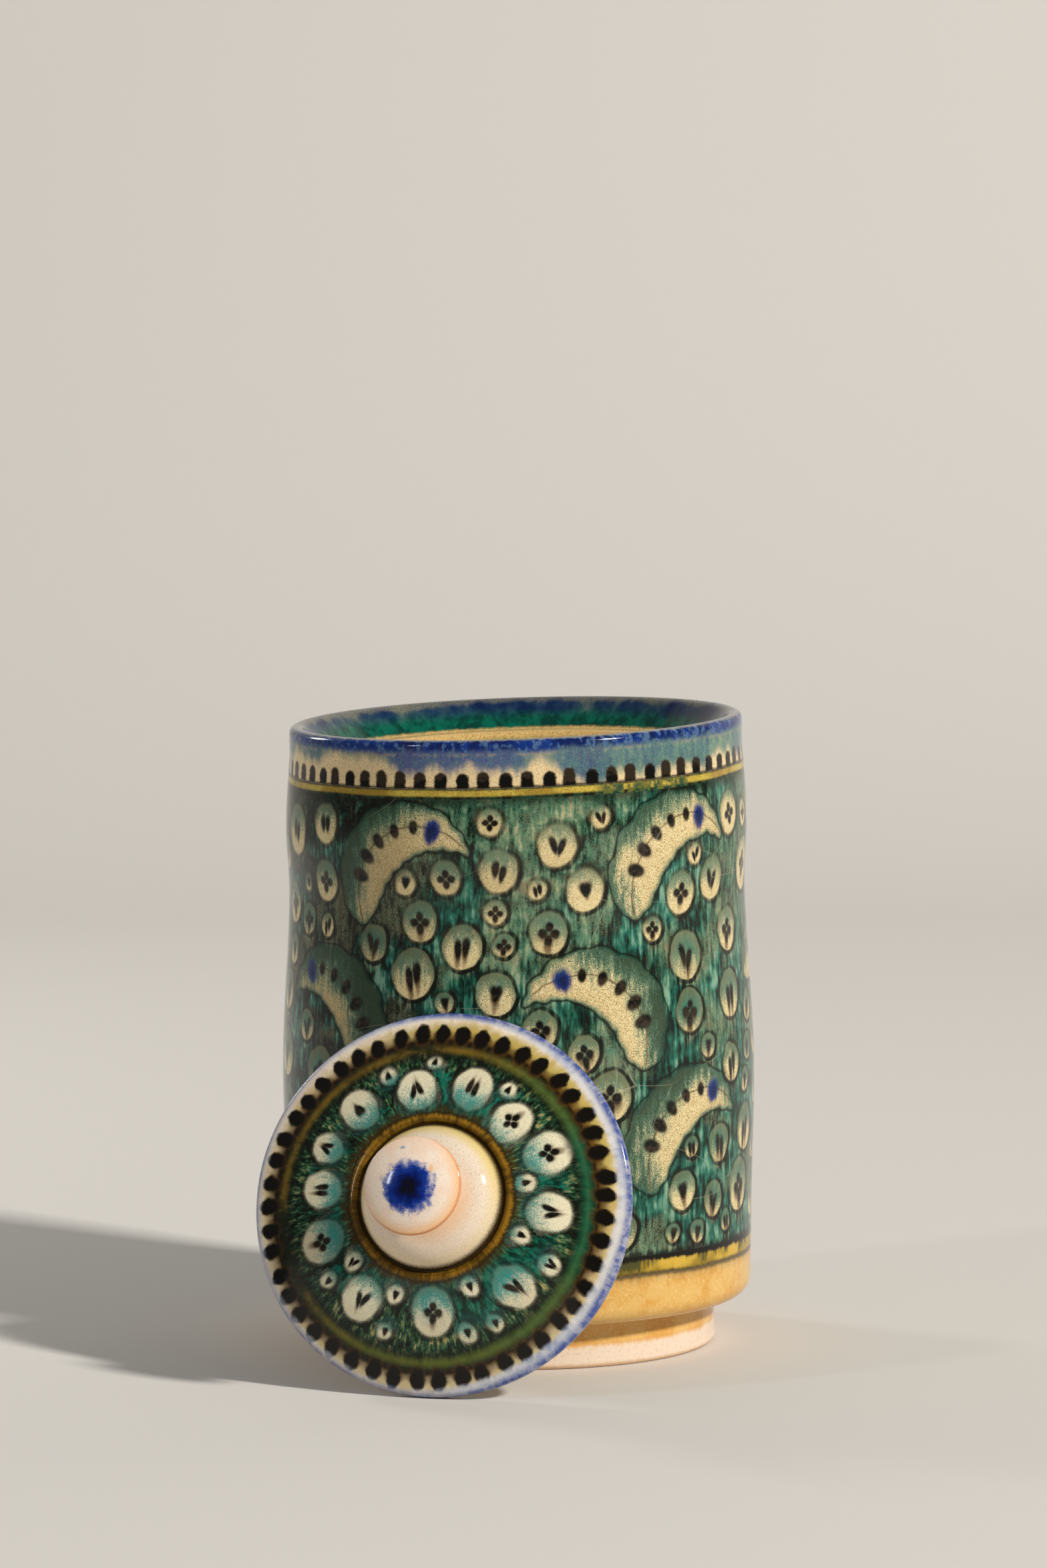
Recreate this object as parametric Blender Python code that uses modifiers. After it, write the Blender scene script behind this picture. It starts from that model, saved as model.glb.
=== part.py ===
"""Thrown ceramic chocolate jar with a loose lid, in metres, +Z up.

The jar is a turned shell on a disc foot, with a gallery inside its lip. The lid is a
thin domed disc with a boss and a mushroom knob, and drops onto the gallery's ledge.
It is modelled as it is kept beside the open jar: standing on its edge and leaning back
on the jar's wall. The origin is on the jar's axis, at the plane it stands on.
"""

import math

import bmesh
import bpy

# Jar: heights above the table
JAR_HEIGHT = 0.1993
FOOT_HEIGHT = 0.0150
FLOOR_HEIGHT = 0.0120
RECESS_DEPTH = 0.0012

# Jar: outer radii from the foot to the lip
FOOT_RADIUS = 0.0618
FOOT_FLARE = 0.0005
SHOULDER_RADIUS = 0.0739
FLANK_RADIUS = 0.0743
BELLY_RADIUS = 0.0753
WAIST_RADIUS = 0.0726
SWELL_RADIUS = 0.0734
COLLAR_RADIUS = 0.0721
LIP_RADIUS = 0.0720

# Jar: where those radii lie, up from the shoulder or down from the lip
FLANK_RISE = 0.0240
BELLY_RISE = 0.0710
WAIST_DROP = 0.0550
SWELL_DROP = 0.0320
COLLAR_DROP = 0.0090

# Jar: wall, foot and gallery
WALL = 0.0060
FLOOR_SWEEP = 0.0280
FOOT_RING_WIDTH = 0.0085
LIP_THICKNESS = 0.0038
GALLERY_DEPTH = 0.0095
GALLERY_RADIUS = 0.0609
LEDGE_WIDTH = 0.0079
LEDGE_NOSE = 0.0045
NOSE_START = 225

# Jar: rounded edges
SHOULDER_ROUND = 0.0055
FOOT_FILLET = 0.0016
FOOT_EDGE_ROUND = 0.0016
LIP_OUTER_ROUND = 0.0021
LIP_INNER_ROUND = 0.0030
LEDGE_FILLET = 0.0012
CORBEL_FILLET = 0.0090

# Lid: disc
SEAT_CLEARANCE = 0.0014
LID_EDGE = 0.0040
LID_EDGE_ROUND = 0.0018
LID_RIM_WIDTH = 0.0070
LID_RIM_RISE = 0.0028
LID_FIELD_RADIUS = 0.0400
LID_FIELD_HEIGHT = 0.0126
LID_DOME = 0.0170
LID_SHELL = 0.0052
LID_RING_WIDTH = 0.0080

# Lid: boss, neck and knob
BOSS_RADIUS = 0.0224
BOSS_RING = 0.0030
BOSS_GROOVE = 0.0008
CROWN_ROUND = 0.0120
CROWN_START = 20
CROWN_END = 70
NECK_RADIUS = 0.0080
NECK_FILLET = 0.0055
KNOB_RADIUS = 0.0159
KNOB_RISE = 0.0225
KNOB_DOME = 0.0042
KNOB_UNDERCUT = 0.0065
KNOB_EDGE_ROUND = 0.0009
UNDERCUT_FILLET = 0.0050

# Lid: how it leans beside the jar
LID_LEAN = math.radians(17.5)
LID_BEARING = math.radians(14.6)
LEAN_GAP = 0.0003

# Glaze colours and gloss
JAR_COLOUR = (0.16, 0.27, 0.19)
JAR_ROUGHNESS = 0.22
LID_COLOUR = (0.42, 0.44, 0.30)
LID_ROUGHNESS = 0.20
COAT_WEIGHT = 0.6
COAT_ROUGHNESS = 0.08

# Facets round the axis
JAR_STEPS = 60
LID_STEPS = 52
MERGE_DISTANCE = 0.00001

# Facets along the outlines
FILLET_FACETS = 3
EDGE_FACETS = 4
ROUND_FACETS = 5
NOSE_FACETS = 6
SWEEP_FACETS = 8
INNER_WALL_FACETS = 7
OUTER_WALL_FACETS = 15
FIELD_FACETS = 7
HOLLOW_FACETS = 4


def arc(centre, radius, start_degrees, end_degrees, steps):
    """Points (r, z) along an arc, both ends included."""
    points = []
    for i in range(steps + 1):
        angle = math.radians(start_degrees + (end_degrees - start_degrees) * i / steps)
        points.append((centre[0] + radius * math.cos(angle), centre[1] + radius * math.sin(angle)))
    return points


def rounded_corner(before, corner, after, radius, steps):
    """Points of the arc that rounds a corner between two straight runs."""
    into = (corner[0] - before[0], corner[1] - before[1])
    out = (after[0] - corner[0], after[1] - corner[1])
    heading_in = math.atan2(into[1], into[0])
    turn = math.remainder(math.atan2(out[1], out[0]) - heading_in, 2 * math.pi)
    trim = radius * math.tan(abs(turn) / 2)
    side = math.copysign(1, turn)
    along = (math.cos(heading_in), math.sin(heading_in))
    start = (corner[0] - trim * along[0], corner[1] - trim * along[1])
    centre = (start[0] - side * radius * along[1], start[1] + side * radius * along[0])
    first = math.degrees(heading_in) - side * 90
    return arc(centre, radius, first, first + math.degrees(turn), steps)


def smooth_value(stations, at):
    """Value at a place along a smooth curve through (place, value) stations in rising order."""
    places = [place for place, value in stations]
    values = [value for place, value in stations]
    last = len(stations) - 1

    def slope(i):
        low, high = max(i - 1, 0), min(i + 1, last)
        return (values[high] - values[low]) / (places[high] - places[low])

    i = 0
    while i < last - 1 and at > places[i + 1]:
        i += 1
    span = places[i + 1] - places[i]
    t = min(max((at - places[i]) / span, 0), 1)
    return (
        values[i] * (1 + 2 * t) * (1 - t) ** 2
        + values[i + 1] * t * t * (3 - 2 * t)
        + slope(i) * span * t * (1 - t) ** 2
        - slope(i + 1) * span * t * t * (1 - t)
    )


def spaced(start, end, steps):
    """Evenly spaced values from start to end, both included."""
    return [start + (end - start) * i / steps for i in range(steps + 1)]


def jar_stations():
    """Outer wall of the jar as (height, radius), from the shoulder to the lip."""
    shoulder = FOOT_HEIGHT + SHOULDER_ROUND
    return [
        (shoulder, SHOULDER_RADIUS),
        (shoulder + FLANK_RISE, FLANK_RADIUS),
        (shoulder + BELLY_RISE, BELLY_RADIUS),
        (JAR_HEIGHT - WAIST_DROP, WAIST_RADIUS),
        (JAR_HEIGHT - SWELL_DROP, SWELL_RADIUS),
        (JAR_HEIGHT - COLLAR_DROP, COLLAR_RADIUS),
        (JAR_HEIGHT - LIP_OUTER_ROUND, LIP_RADIUS),
    ]


def wall_radius(height):
    """Outer radius of the jar's wall at a height."""
    return smooth_value(jar_stations(), height)


def jar_inside():
    """Inside of the jar from the floor's centre to the ledge's nose, as (r, z)."""
    sweep_top = FLOOR_HEIGHT + FLOOR_SWEEP
    sweep_centre = (wall_radius(sweep_top) - WALL - FLOOR_SWEEP, sweep_top)
    floor = [(0, FLOOR_HEIGHT)] + arc(sweep_centre, FLOOR_SWEEP, -90, 0, SWEEP_FACETS)

    ledge_height = JAR_HEIGHT - GALLERY_DEPTH
    nose_centre = (GALLERY_RADIUS - LEDGE_WIDTH + LEDGE_NOSE, ledge_height - LEDGE_NOSE)
    nose = arc(nose_centre, LEDGE_NOSE, NOSE_START, 90, NOSE_FACETS)
    corbel_radius = wall_radius(JAR_HEIGHT - SWELL_DROP) - WALL
    corbel_foot = (corbel_radius, nose[0][1] - (corbel_radius - nose[0][0]))
    below = (corbel_radius, corbel_foot[1] - CORBEL_FILLET)
    corbel = rounded_corner(below, corbel_foot, nose[0], CORBEL_FILLET, FILLET_FACETS)

    heights = spaced(sweep_top, corbel[0][1], INNER_WALL_FACETS)[1:-1]
    wall = [(wall_radius(height) - WALL, height) for height in heights]
    return floor + wall + corbel + nose


def jar_gallery():
    """Gallery and lip from the ledge to the top of the outer wall, as (r, z)."""
    ledge_start = (GALLERY_RADIUS - LEDGE_WIDTH + LEDGE_NOSE, JAR_HEIGHT - GALLERY_DEPTH)
    ledge_end = (GALLERY_RADIUS, JAR_HEIGHT - GALLERY_DEPTH)
    lip_inner = (LIP_RADIUS - LIP_THICKNESS, JAR_HEIGHT)
    lip_outer = (LIP_RADIUS, JAR_HEIGHT)
    below_lip = (LIP_RADIUS, JAR_HEIGHT - GALLERY_DEPTH)
    return (
        rounded_corner(ledge_start, ledge_end, lip_inner, LEDGE_FILLET, FILLET_FACETS)
        + rounded_corner(ledge_end, lip_inner, lip_outer, LIP_INNER_ROUND, EDGE_FACETS)
        + rounded_corner(lip_inner, lip_outer, below_lip, LIP_OUTER_ROUND, ROUND_FACETS)
    )


def jar_outside():
    """Outer wall, shoulder, foot and underside from below the lip to the axis, as (r, z)."""
    shoulder_top = FOOT_HEIGHT + SHOULDER_ROUND
    heights = spaced(JAR_HEIGHT - LIP_OUTER_ROUND, shoulder_top, OUTER_WALL_FACETS)[1:-1]
    wall = [(wall_radius(height), height) for height in heights]

    wall_foot = (SHOULDER_RADIUS, shoulder_top)
    shoulder_corner = (SHOULDER_RADIUS, FOOT_HEIGHT)
    foot_top = (FOOT_RADIUS, FOOT_HEIGHT)
    foot_bottom = (FOOT_RADIUS + FOOT_FLARE, 0)
    ring_inside = (FOOT_RADIUS - FOOT_RING_WIDTH, 0)
    recess_edge = (ring_inside[0] - RECESS_DEPTH, RECESS_DEPTH)
    return (
        wall
        + rounded_corner(wall_foot, shoulder_corner, foot_top, SHOULDER_ROUND, ROUND_FACETS)
        + rounded_corner(shoulder_corner, foot_top, foot_bottom, FOOT_FILLET, FILLET_FACETS)
        + rounded_corner(foot_top, foot_bottom, ring_inside, FOOT_EDGE_ROUND, FILLET_FACETS)
        + [ring_inside, recess_edge, (0, RECESS_DEPTH)]
    )


def lid_rim_radius():
    """Radius of the lid's edge, which drops into the gallery with its clearance."""
    return GALLERY_RADIUS - SEAT_CLEARANCE


def lid_field_height(radius):
    """Height of the painted field of the lid at a radius, above its underside."""
    rim = lid_rim_radius()
    stations = [
        (BOSS_RADIUS + BOSS_RING, LID_DOME),
        (LID_FIELD_RADIUS, LID_FIELD_HEIGHT),
        (rim - LID_RIM_WIDTH, LID_EDGE + LID_RIM_RISE),
        (rim, LID_EDGE),
    ]
    return smooth_value(stations, radius)


def lid_knob():
    """Knob, neck and crown of the boss from the top down, as (r, z)."""
    knob_edge = LID_DOME + KNOB_RISE
    sphere = (KNOB_RADIUS ** 2 + KNOB_DOME ** 2) / (2 * KNOB_DOME)
    dome_sweep = math.degrees(math.asin((KNOB_RADIUS - 2 * KNOB_EDGE_ROUND) / sphere))
    dome = arc((0, knob_edge + KNOB_DOME - sphere), sphere, 90, 90 - dome_sweep, ROUND_FACETS)

    start, end = math.radians(CROWN_START), math.radians(CROWN_END)
    crown_centre = (BOSS_RADIUS - CROWN_ROUND * math.cos(start), LID_DOME - CROWN_ROUND * math.sin(start))
    crown = arc(crown_centre, CROWN_ROUND, CROWN_END, CROWN_START, ROUND_FACETS)
    crown_top = crown[0]

    rim = (KNOB_RADIUS, knob_edge)
    neck_top = (NECK_RADIUS, knob_edge - KNOB_UNDERCUT)
    neck_foot = (NECK_RADIUS, crown_top[1] + (crown_top[0] - NECK_RADIUS) / math.tan(end))
    return (
        dome
        + rounded_corner(dome[-1], rim, neck_top, KNOB_EDGE_ROUND, EDGE_FACETS)
        + rounded_corner(rim, neck_top, neck_foot, UNDERCUT_FILLET, FILLET_FACETS)
        + rounded_corner(neck_top, neck_foot, crown_top, NECK_FILLET, EDGE_FACETS)
        + crown
    )


def lid_ring():
    """Groove at the foot of the boss and the ring round it, as (r, z)."""
    groove = (BOSS_RADIUS + BOSS_GROOVE / 2, LID_DOME - BOSS_GROOVE)
    ring = (BOSS_RADIUS + BOSS_RING / 2, LID_DOME + BOSS_GROOVE / 2)
    return [groove, ring]


def lid_underside(radius):
    """Height of the hollowed underside, a shell's thickness below the field."""
    return lid_field_height(radius) - LID_SHELL


def lid_outline():
    """Whole outline of the lid, from the knob's top round to the underside's centre."""
    rim = lid_rim_radius()
    field_radii = spaced(BOSS_RADIUS + BOSS_RING, rim, FIELD_FACETS)[:-1]
    field = [(radius, lid_field_height(radius)) for radius in field_radii]

    top_edge = (rim, LID_EDGE)
    bottom_edge = (rim, 0)
    ring_inside = (rim - LID_RING_WIDTH, 0)
    edge = rounded_corner(field[-1], top_edge, bottom_edge, LID_EDGE_ROUND, EDGE_FACETS)
    edge += rounded_corner(top_edge, bottom_edge, ring_inside, LID_EDGE_ROUND, FILLET_FACETS)

    hollow_radii = spaced(ring_inside[0] - LID_SHELL / 2, BOSS_RADIUS, HOLLOW_FACETS) + [0]
    hollow = [(radius, lid_underside(radius)) for radius in hollow_radii]
    return lid_knob() + lid_ring() + field + edge + [ring_inside] + hollow


def turned(name, outline, steps, material, collection):
    """Object of that name, its outline turned a full circle about Z."""
    mesh = bpy.data.meshes.new(name)
    shape = bmesh.new()
    vertices = [shape.verts.new((r, 0, z)) for r, z in outline]
    for first, second in zip(vertices, vertices[1:]):
        shape.edges.new((first, second))
    shape.to_mesh(mesh)
    shape.free()
    mesh.materials.append(material)

    piece = bpy.data.objects.new(name, mesh)
    collection.objects.link(piece)
    screw = piece.modifiers.new("Turn", "SCREW")
    screw.axis = "Z"
    screw.angle = 2 * math.pi
    screw.steps = steps
    screw.render_steps = steps
    screw.use_merge_vertices = True
    screw.merge_threshold = MERGE_DISTANCE
    screw.use_smooth_shade = True
    return piece


def glaze(name, colour, roughness):
    """Glossy fired glaze."""
    material = bpy.data.materials.new(name)
    material.use_nodes = True
    shader = material.node_tree.nodes["Principled BSDF"]
    shader.inputs["Base Color"].default_value = (*colour, 1)
    shader.inputs["Roughness"].default_value = roughness
    shader.inputs["Metallic"].default_value = 0
    shader.inputs["Coat Weight"].default_value = COAT_WEIGHT
    shader.inputs["Coat Roughness"].default_value = COAT_ROUGHNESS
    return material


def lean_lid(lid, outline, collection):
    """Stand the lid on its edge, its face out, its top edge just off the jar's wall."""
    sine, cosine = math.sin(LID_LEAN), math.cos(LID_LEAN)
    lift = max(r * cosine - z * sine for r, z in outline)
    reach = max(
        wall_radius(lift + r * cosine + z * sine) + r * sine - z * cosine for r, z in outline
    )
    bearing = bpy.data.objects.new("lid_bearing", None)
    collection.objects.link(bearing)
    bearing.rotation_euler = (0, 0, -LID_BEARING)
    lid.parent = bearing
    lid.location = (0, -(reach + LEAN_GAP), lift)
    lid.rotation_euler = (math.pi / 2 - LID_LEAN, 0, 0)


def clear_scene():
    """Remove what the new file starts with."""
    for old in list(bpy.data.objects):
        bpy.data.objects.remove(old)


def build_jar(collection):
    """The jar's body: foot, wall, ledge, gallery and lip in one piece."""
    outline = jar_inside() + jar_gallery() + jar_outside()
    material = glaze("jar_glaze", JAR_COLOUR, JAR_ROUGHNESS)
    return turned("jar", outline, JAR_STEPS, material, collection)


def build_lid(collection):
    """The lid: disc, boss and knob in one piece."""
    outline = lid_outline()
    material = glaze("lid_glaze", LID_COLOUR, LID_ROUGHNESS)
    lid = turned("lid", outline, LID_STEPS, material, collection)
    lean_lid(lid, outline, collection)
    return lid


def main():
    """Build the open jar with its lid beside it."""
    clear_scene()
    collection = bpy.data.collections.new("chocolate_jar")
    bpy.context.scene.collection.children.link(collection)
    build_jar(collection)
    build_lid(collection)


main()
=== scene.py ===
"""Looks of a hand-thrown, hand-painted chocolate jar with its lid leaning beside it.

All sizes are in millimetres until a mesh is made. Angles round an axis start at the
side that faces the camera (-Y) and grow towards the right (+X). Every skin carries a
rest_mm attribute, its place on the true turned form, which the paint is laid out on.
"""

import math

import bpy
import numpy as np
from mathutils import Matrix, Vector


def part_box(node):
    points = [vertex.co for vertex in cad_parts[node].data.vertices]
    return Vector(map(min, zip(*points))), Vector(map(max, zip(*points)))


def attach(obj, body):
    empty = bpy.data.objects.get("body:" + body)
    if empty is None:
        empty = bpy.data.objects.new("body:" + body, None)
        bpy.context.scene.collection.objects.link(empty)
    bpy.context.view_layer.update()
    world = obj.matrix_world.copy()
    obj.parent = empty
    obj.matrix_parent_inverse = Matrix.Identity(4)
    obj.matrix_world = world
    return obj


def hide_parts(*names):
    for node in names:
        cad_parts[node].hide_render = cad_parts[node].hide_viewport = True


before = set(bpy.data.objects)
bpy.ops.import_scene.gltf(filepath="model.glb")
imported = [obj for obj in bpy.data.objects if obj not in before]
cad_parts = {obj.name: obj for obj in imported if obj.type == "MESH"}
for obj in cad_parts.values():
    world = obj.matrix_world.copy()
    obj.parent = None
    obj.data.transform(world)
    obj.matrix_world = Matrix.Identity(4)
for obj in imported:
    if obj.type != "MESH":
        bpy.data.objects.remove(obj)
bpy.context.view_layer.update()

MM = 0.001

# Jar outline, in step with the CAD solid
JAR_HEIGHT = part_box("jar")[1].z / MM
FOOT_HEIGHT = 15
FLOOR_HEIGHT = 12
RECESS_DEPTH = 1.2
FOOT_RADIUS = 61.8
FOOT_FLARE = 0.5
SHOULDER_RADIUS = 73.9
FLANK_RADIUS = 74.3
BELLY_RADIUS = 75.3
WAIST_RADIUS = 72.6
SWELL_RADIUS = 73.4
COLLAR_RADIUS = 72.1
LIP_RADIUS = 72
FLANK_RISE = 24
BELLY_RISE = 71
WAIST_DROP = 55
SWELL_DROP = 32
COLLAR_DROP = 9
WALL = 6
FLOOR_SWEEP = 28
FOOT_RING_WIDTH = 8.5
LIP_THICKNESS = 3.8
GALLERY_DEPTH = 9.5
GALLERY_RADIUS = 60.9
LEDGE_WIDTH = 7.9
LEDGE_NOSE = 4.5
SHOULDER_ROUND = 5.5
FOOT_FILLET = 1.6
FOOT_EDGE_ROUND = 1.6
LIP_OUTER_ROUND = 2.1
LIP_INNER_ROUND = 3
LEDGE_FILLET = 1.2
CORBEL_FILLET = 9

# Lid outline, in step with the CAD solid
SEAT_CLEARANCE = 1.4
LID_RADIUS = GALLERY_RADIUS - SEAT_CLEARANCE
LID_EDGE = 4
LID_EDGE_ROUND = 1.8
LID_RIM_WIDTH = 7
LID_RIM_RISE = 2.8
LID_FIELD_RADIUS = 40
LID_FIELD_HEIGHT = 12.6
LID_DOME = 17
LID_SHELL = 5.2
LID_RING_WIDTH = 8
BOSS_RADIUS = 22.4
BOSS_RING = 3
BOSS_GROOVE = 0.8
CROWN_ROUND = 12
CROWN_START = 20
CROWN_END = 70
NECK_RADIUS = 8
NECK_FILLET = 5.5
KNOB_RADIUS = 15.9
KNOB_RISE = 22.5
KNOB_DOME = 4.2
KNOB_UNDERCUT = 6.5
KNOB_EDGE_ROUND = 0.9
UNDERCUT_FILLET = 5
LID_LEAN = math.radians(17.5)
LID_BEARING = math.radians(14.6)
LEAN_GAP = 0.3

# How far the thrown walls stray from true at the rim
RIM_SHIFT = -1.75
RIM_TILT_RIGHT = 0.035
RIM_TILT_BACK = 0.012

# Heights of the jar's painted zones
FIELD_TOP = 181
FIELD_FOOT = 36.2

# Fineness of the skins
JAR_COLUMNS = 400
LID_COLUMNS = 300
ROW_STEP = 1.15
MAP_MARGIN = 0.012

# Camera, from the photograph's perspective
CAMERA_DISTANCE = 2100
CAMERA_HEIGHT = 373.9
CAMERA_PITCH = 0.093
CAMERA_YAW = 0.0004
CAMERA_LENS = 151.85
CAMERA_SENSOR = 36
CAMERA_REACH = 50

# Stage and light, in metres
STAGE_FRONT = -3
STAGE_HALF_WIDTH = 4
STAGE_TOP = 3
SWEEP_START = 1.2
SWEEP_RADIUS = 0.8
STAGE_COLOUR = (212, 209, 204)
LAMP_AIM = (0, -0.03, 0.09)
WORLD_COLOUR = (232, 232, 232)
WORLD_STRENGTH = 0.22


def srgb(red, green, blue):
    """Linear colour for a colour on the usual 0 to 255 scale."""
    shares = [value / 255 for value in (red, green, blue)]
    return tuple(s / 12.92 if s <= 0.04045 else ((s + 0.055) / 1.055) ** 2.4 for s in shares) + (1,)


def add(name, data):
    """A new object in the scene."""
    made = bpy.data.objects.new(name, data)
    bpy.context.scene.collection.objects.link(made)
    return made


# Turned outlines


def arc(centre, radius, start_degrees, end_degrees, steps):
    """Points (r, z) along an arc, with both ends."""
    points = []
    for i in range(steps + 1):
        angle = math.radians(start_degrees + (end_degrees - start_degrees) * i / steps)
        points.append((centre[0] + radius * math.cos(angle), centre[1] + radius * math.sin(angle)))
    return points


def rounded(before, corner, after, radius, steps):
    """Points of the arc that rounds a corner between two straight runs."""
    into = (corner[0] - before[0], corner[1] - before[1])
    out = (after[0] - corner[0], after[1] - corner[1])
    heading = math.atan2(into[1], into[0])
    turn = math.remainder(math.atan2(out[1], out[0]) - heading, 2 * math.pi)
    trim = radius * math.tan(abs(turn) / 2)
    side = math.copysign(1, turn)
    start = (corner[0] - trim * math.cos(heading), corner[1] - trim * math.sin(heading))
    centre = (start[0] - side * radius * math.sin(heading), start[1] + side * radius * math.cos(heading))
    first = math.degrees(heading) - side * 90
    return arc(centre, radius, first, first + math.degrees(turn), steps)


def smooth_value(stations, at):
    """Value at a place along a smooth curve through (place, value) stations in rising order."""
    places, values = zip(*stations)
    last = len(stations) - 1

    def slope(i):
        low, high = max(i - 1, 0), min(i + 1, last)
        return (values[high] - values[low]) / (places[high] - places[low])

    i = 0
    while i < last - 1 and at > places[i + 1]:
        i += 1
    span = places[i + 1] - places[i]
    t = min(max((at - places[i]) / span, 0), 1)
    return (
        values[i] * (1 + 2 * t) * (1 - t) ** 2
        + values[i + 1] * t * t * (3 - 2 * t)
        + slope(i) * span * t * (1 - t) ** 2
        - slope(i + 1) * span * t * t * (1 - t)
    )


def spaced(start, end, step=ROW_STEP):
    """Even values from start to end, both included, about a step apart."""
    count = max(round(abs(end - start) / step), 1)
    return [start + (end - start) * i / count for i in range(count + 1)]


def filled(points, step=ROW_STEP):
    """The outline with points added on its long straight runs."""
    full = [points[0]]
    for before, after in zip(points, points[1:]):
        count = max(round(math.dist(before, after) / step), 1)
        for i in range(1, count + 1):
            share = i / count
            full.append(tuple(a + (b - a) * share for a, b in zip(before, after)))
    return full


def wall_radius(height):
    """Outer radius of the jar's wall at a height."""
    shoulder = FOOT_HEIGHT + SHOULDER_ROUND
    stations = [
        (shoulder, SHOULDER_RADIUS),
        (shoulder + FLANK_RISE, FLANK_RADIUS),
        (shoulder + BELLY_RISE, BELLY_RADIUS),
        (JAR_HEIGHT - WAIST_DROP, WAIST_RADIUS),
        (JAR_HEIGHT - SWELL_DROP, SWELL_RADIUS),
        (JAR_HEIGHT - COLLAR_DROP, COLLAR_RADIUS),
        (JAR_HEIGHT - LIP_OUTER_ROUND, LIP_RADIUS),
    ]
    return smooth_value(stations, height)


def wall_run(top, bottom):
    """Outer wall between two heights, from the top down."""
    return [(wall_radius(height), height) for height in spaced(top, bottom)]


def jar_outline():
    """Named stretches of the jar's outline, from the floor's centre round to the underside's."""
    sweep_top = FLOOR_HEIGHT + FLOOR_SWEEP
    sweep_centre = (wall_radius(sweep_top) - WALL - FLOOR_SWEEP, sweep_top)
    floor = filled([(0, FLOOR_HEIGHT), (sweep_centre[0], FLOOR_HEIGHT)], 4)[:-1]
    floor += arc(sweep_centre, FLOOR_SWEEP, -90, 0, 22)

    ledge = JAR_HEIGHT - GALLERY_DEPTH
    nose_centre = (GALLERY_RADIUS - LEDGE_WIDTH + LEDGE_NOSE, ledge - LEDGE_NOSE)
    nose = arc(nose_centre, LEDGE_NOSE, 225, 90, 16)
    corbel_radius = wall_radius(JAR_HEIGHT - SWELL_DROP) - WALL
    corbel_foot = (corbel_radius, nose[0][1] - (corbel_radius - nose[0][0]))
    below = (corbel_radius, corbel_foot[1] - CORBEL_FILLET)
    corbel = rounded(below, corbel_foot, nose[0], CORBEL_FILLET, 8)
    inside = [(wall_radius(height) - WALL, height) for height in spaced(sweep_top, corbel[0][1], 2.0)]
    inside = inside[:-1] + filled(corbel + [nose[0]])

    ledge_start = (nose_centre[0], ledge)
    ledge_end = (GALLERY_RADIUS, ledge)
    lip_inner = (LIP_RADIUS - LIP_THICKNESS, JAR_HEIGHT)
    lip_outer = (LIP_RADIUS, JAR_HEIGHT)
    lip_middle = (LIP_RADIUS - LIP_OUTER_ROUND, JAR_HEIGHT)
    gallery = nose + rounded(ledge_start, ledge_end, lip_inner, LEDGE_FILLET, 6)
    gallery = filled(gallery + rounded(ledge_end, lip_inner, lip_outer, LIP_INNER_ROUND, 10), 0.8)
    gallery = gallery + [lip_middle] if math.dist(gallery[-1], lip_middle) > 0.05 else gallery

    below_lip = (LIP_RADIUS, ledge)
    border = rounded(lip_middle, lip_outer, below_lip, LIP_OUTER_ROUND, 9)
    border += wall_run(border[-1][1], FIELD_TOP)[1:]

    shoulder_top = FOOT_HEIGHT + SHOULDER_ROUND
    wall_foot = (SHOULDER_RADIUS, shoulder_top)
    shoulder_corner = (SHOULDER_RADIUS, FOOT_HEIGHT)
    foot_top = (FOOT_RADIUS, FOOT_HEIGHT)
    foot_bottom = (FOOT_RADIUS + FOOT_FLARE, 0)
    ring_inside = (FOOT_RADIUS - FOOT_RING_WIDTH, 0)
    recess_edge = (ring_inside[0] - RECESS_DEPTH, RECESS_DEPTH)
    foot = wall_run(FIELD_FOOT, shoulder_top)[:-1]
    foot += rounded(wall_foot, shoulder_corner, foot_top, SHOULDER_ROUND, 12)
    foot += rounded(shoulder_corner, foot_top, foot_bottom, FOOT_FILLET, 6)
    foot += rounded(foot_top, foot_bottom, ring_inside, FOOT_EDGE_ROUND, 6)
    return [
        ("jar_floor", floor),
        ("jar_inside", inside),
        ("jar_gallery", gallery),
        ("jar_border", border),
        ("jar_field", wall_run(FIELD_TOP, FIELD_FOOT)),
        ("jar_foot", filled(foot, 1.0)),
        ("jar_underside", filled([foot[-1], ring_inside, recess_edge, (0, RECESS_DEPTH)], 4)),
    ]


def lid_field_height(radius):
    """Height of the painted field of the lid at a radius, above its underside."""
    stations = [
        (BOSS_RADIUS + BOSS_RING, LID_DOME),
        (LID_FIELD_RADIUS, LID_FIELD_HEIGHT),
        (LID_RADIUS - LID_RIM_WIDTH, LID_EDGE + LID_RIM_RISE),
        (LID_RADIUS, LID_EDGE),
    ]
    return smooth_value(stations, radius)


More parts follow.
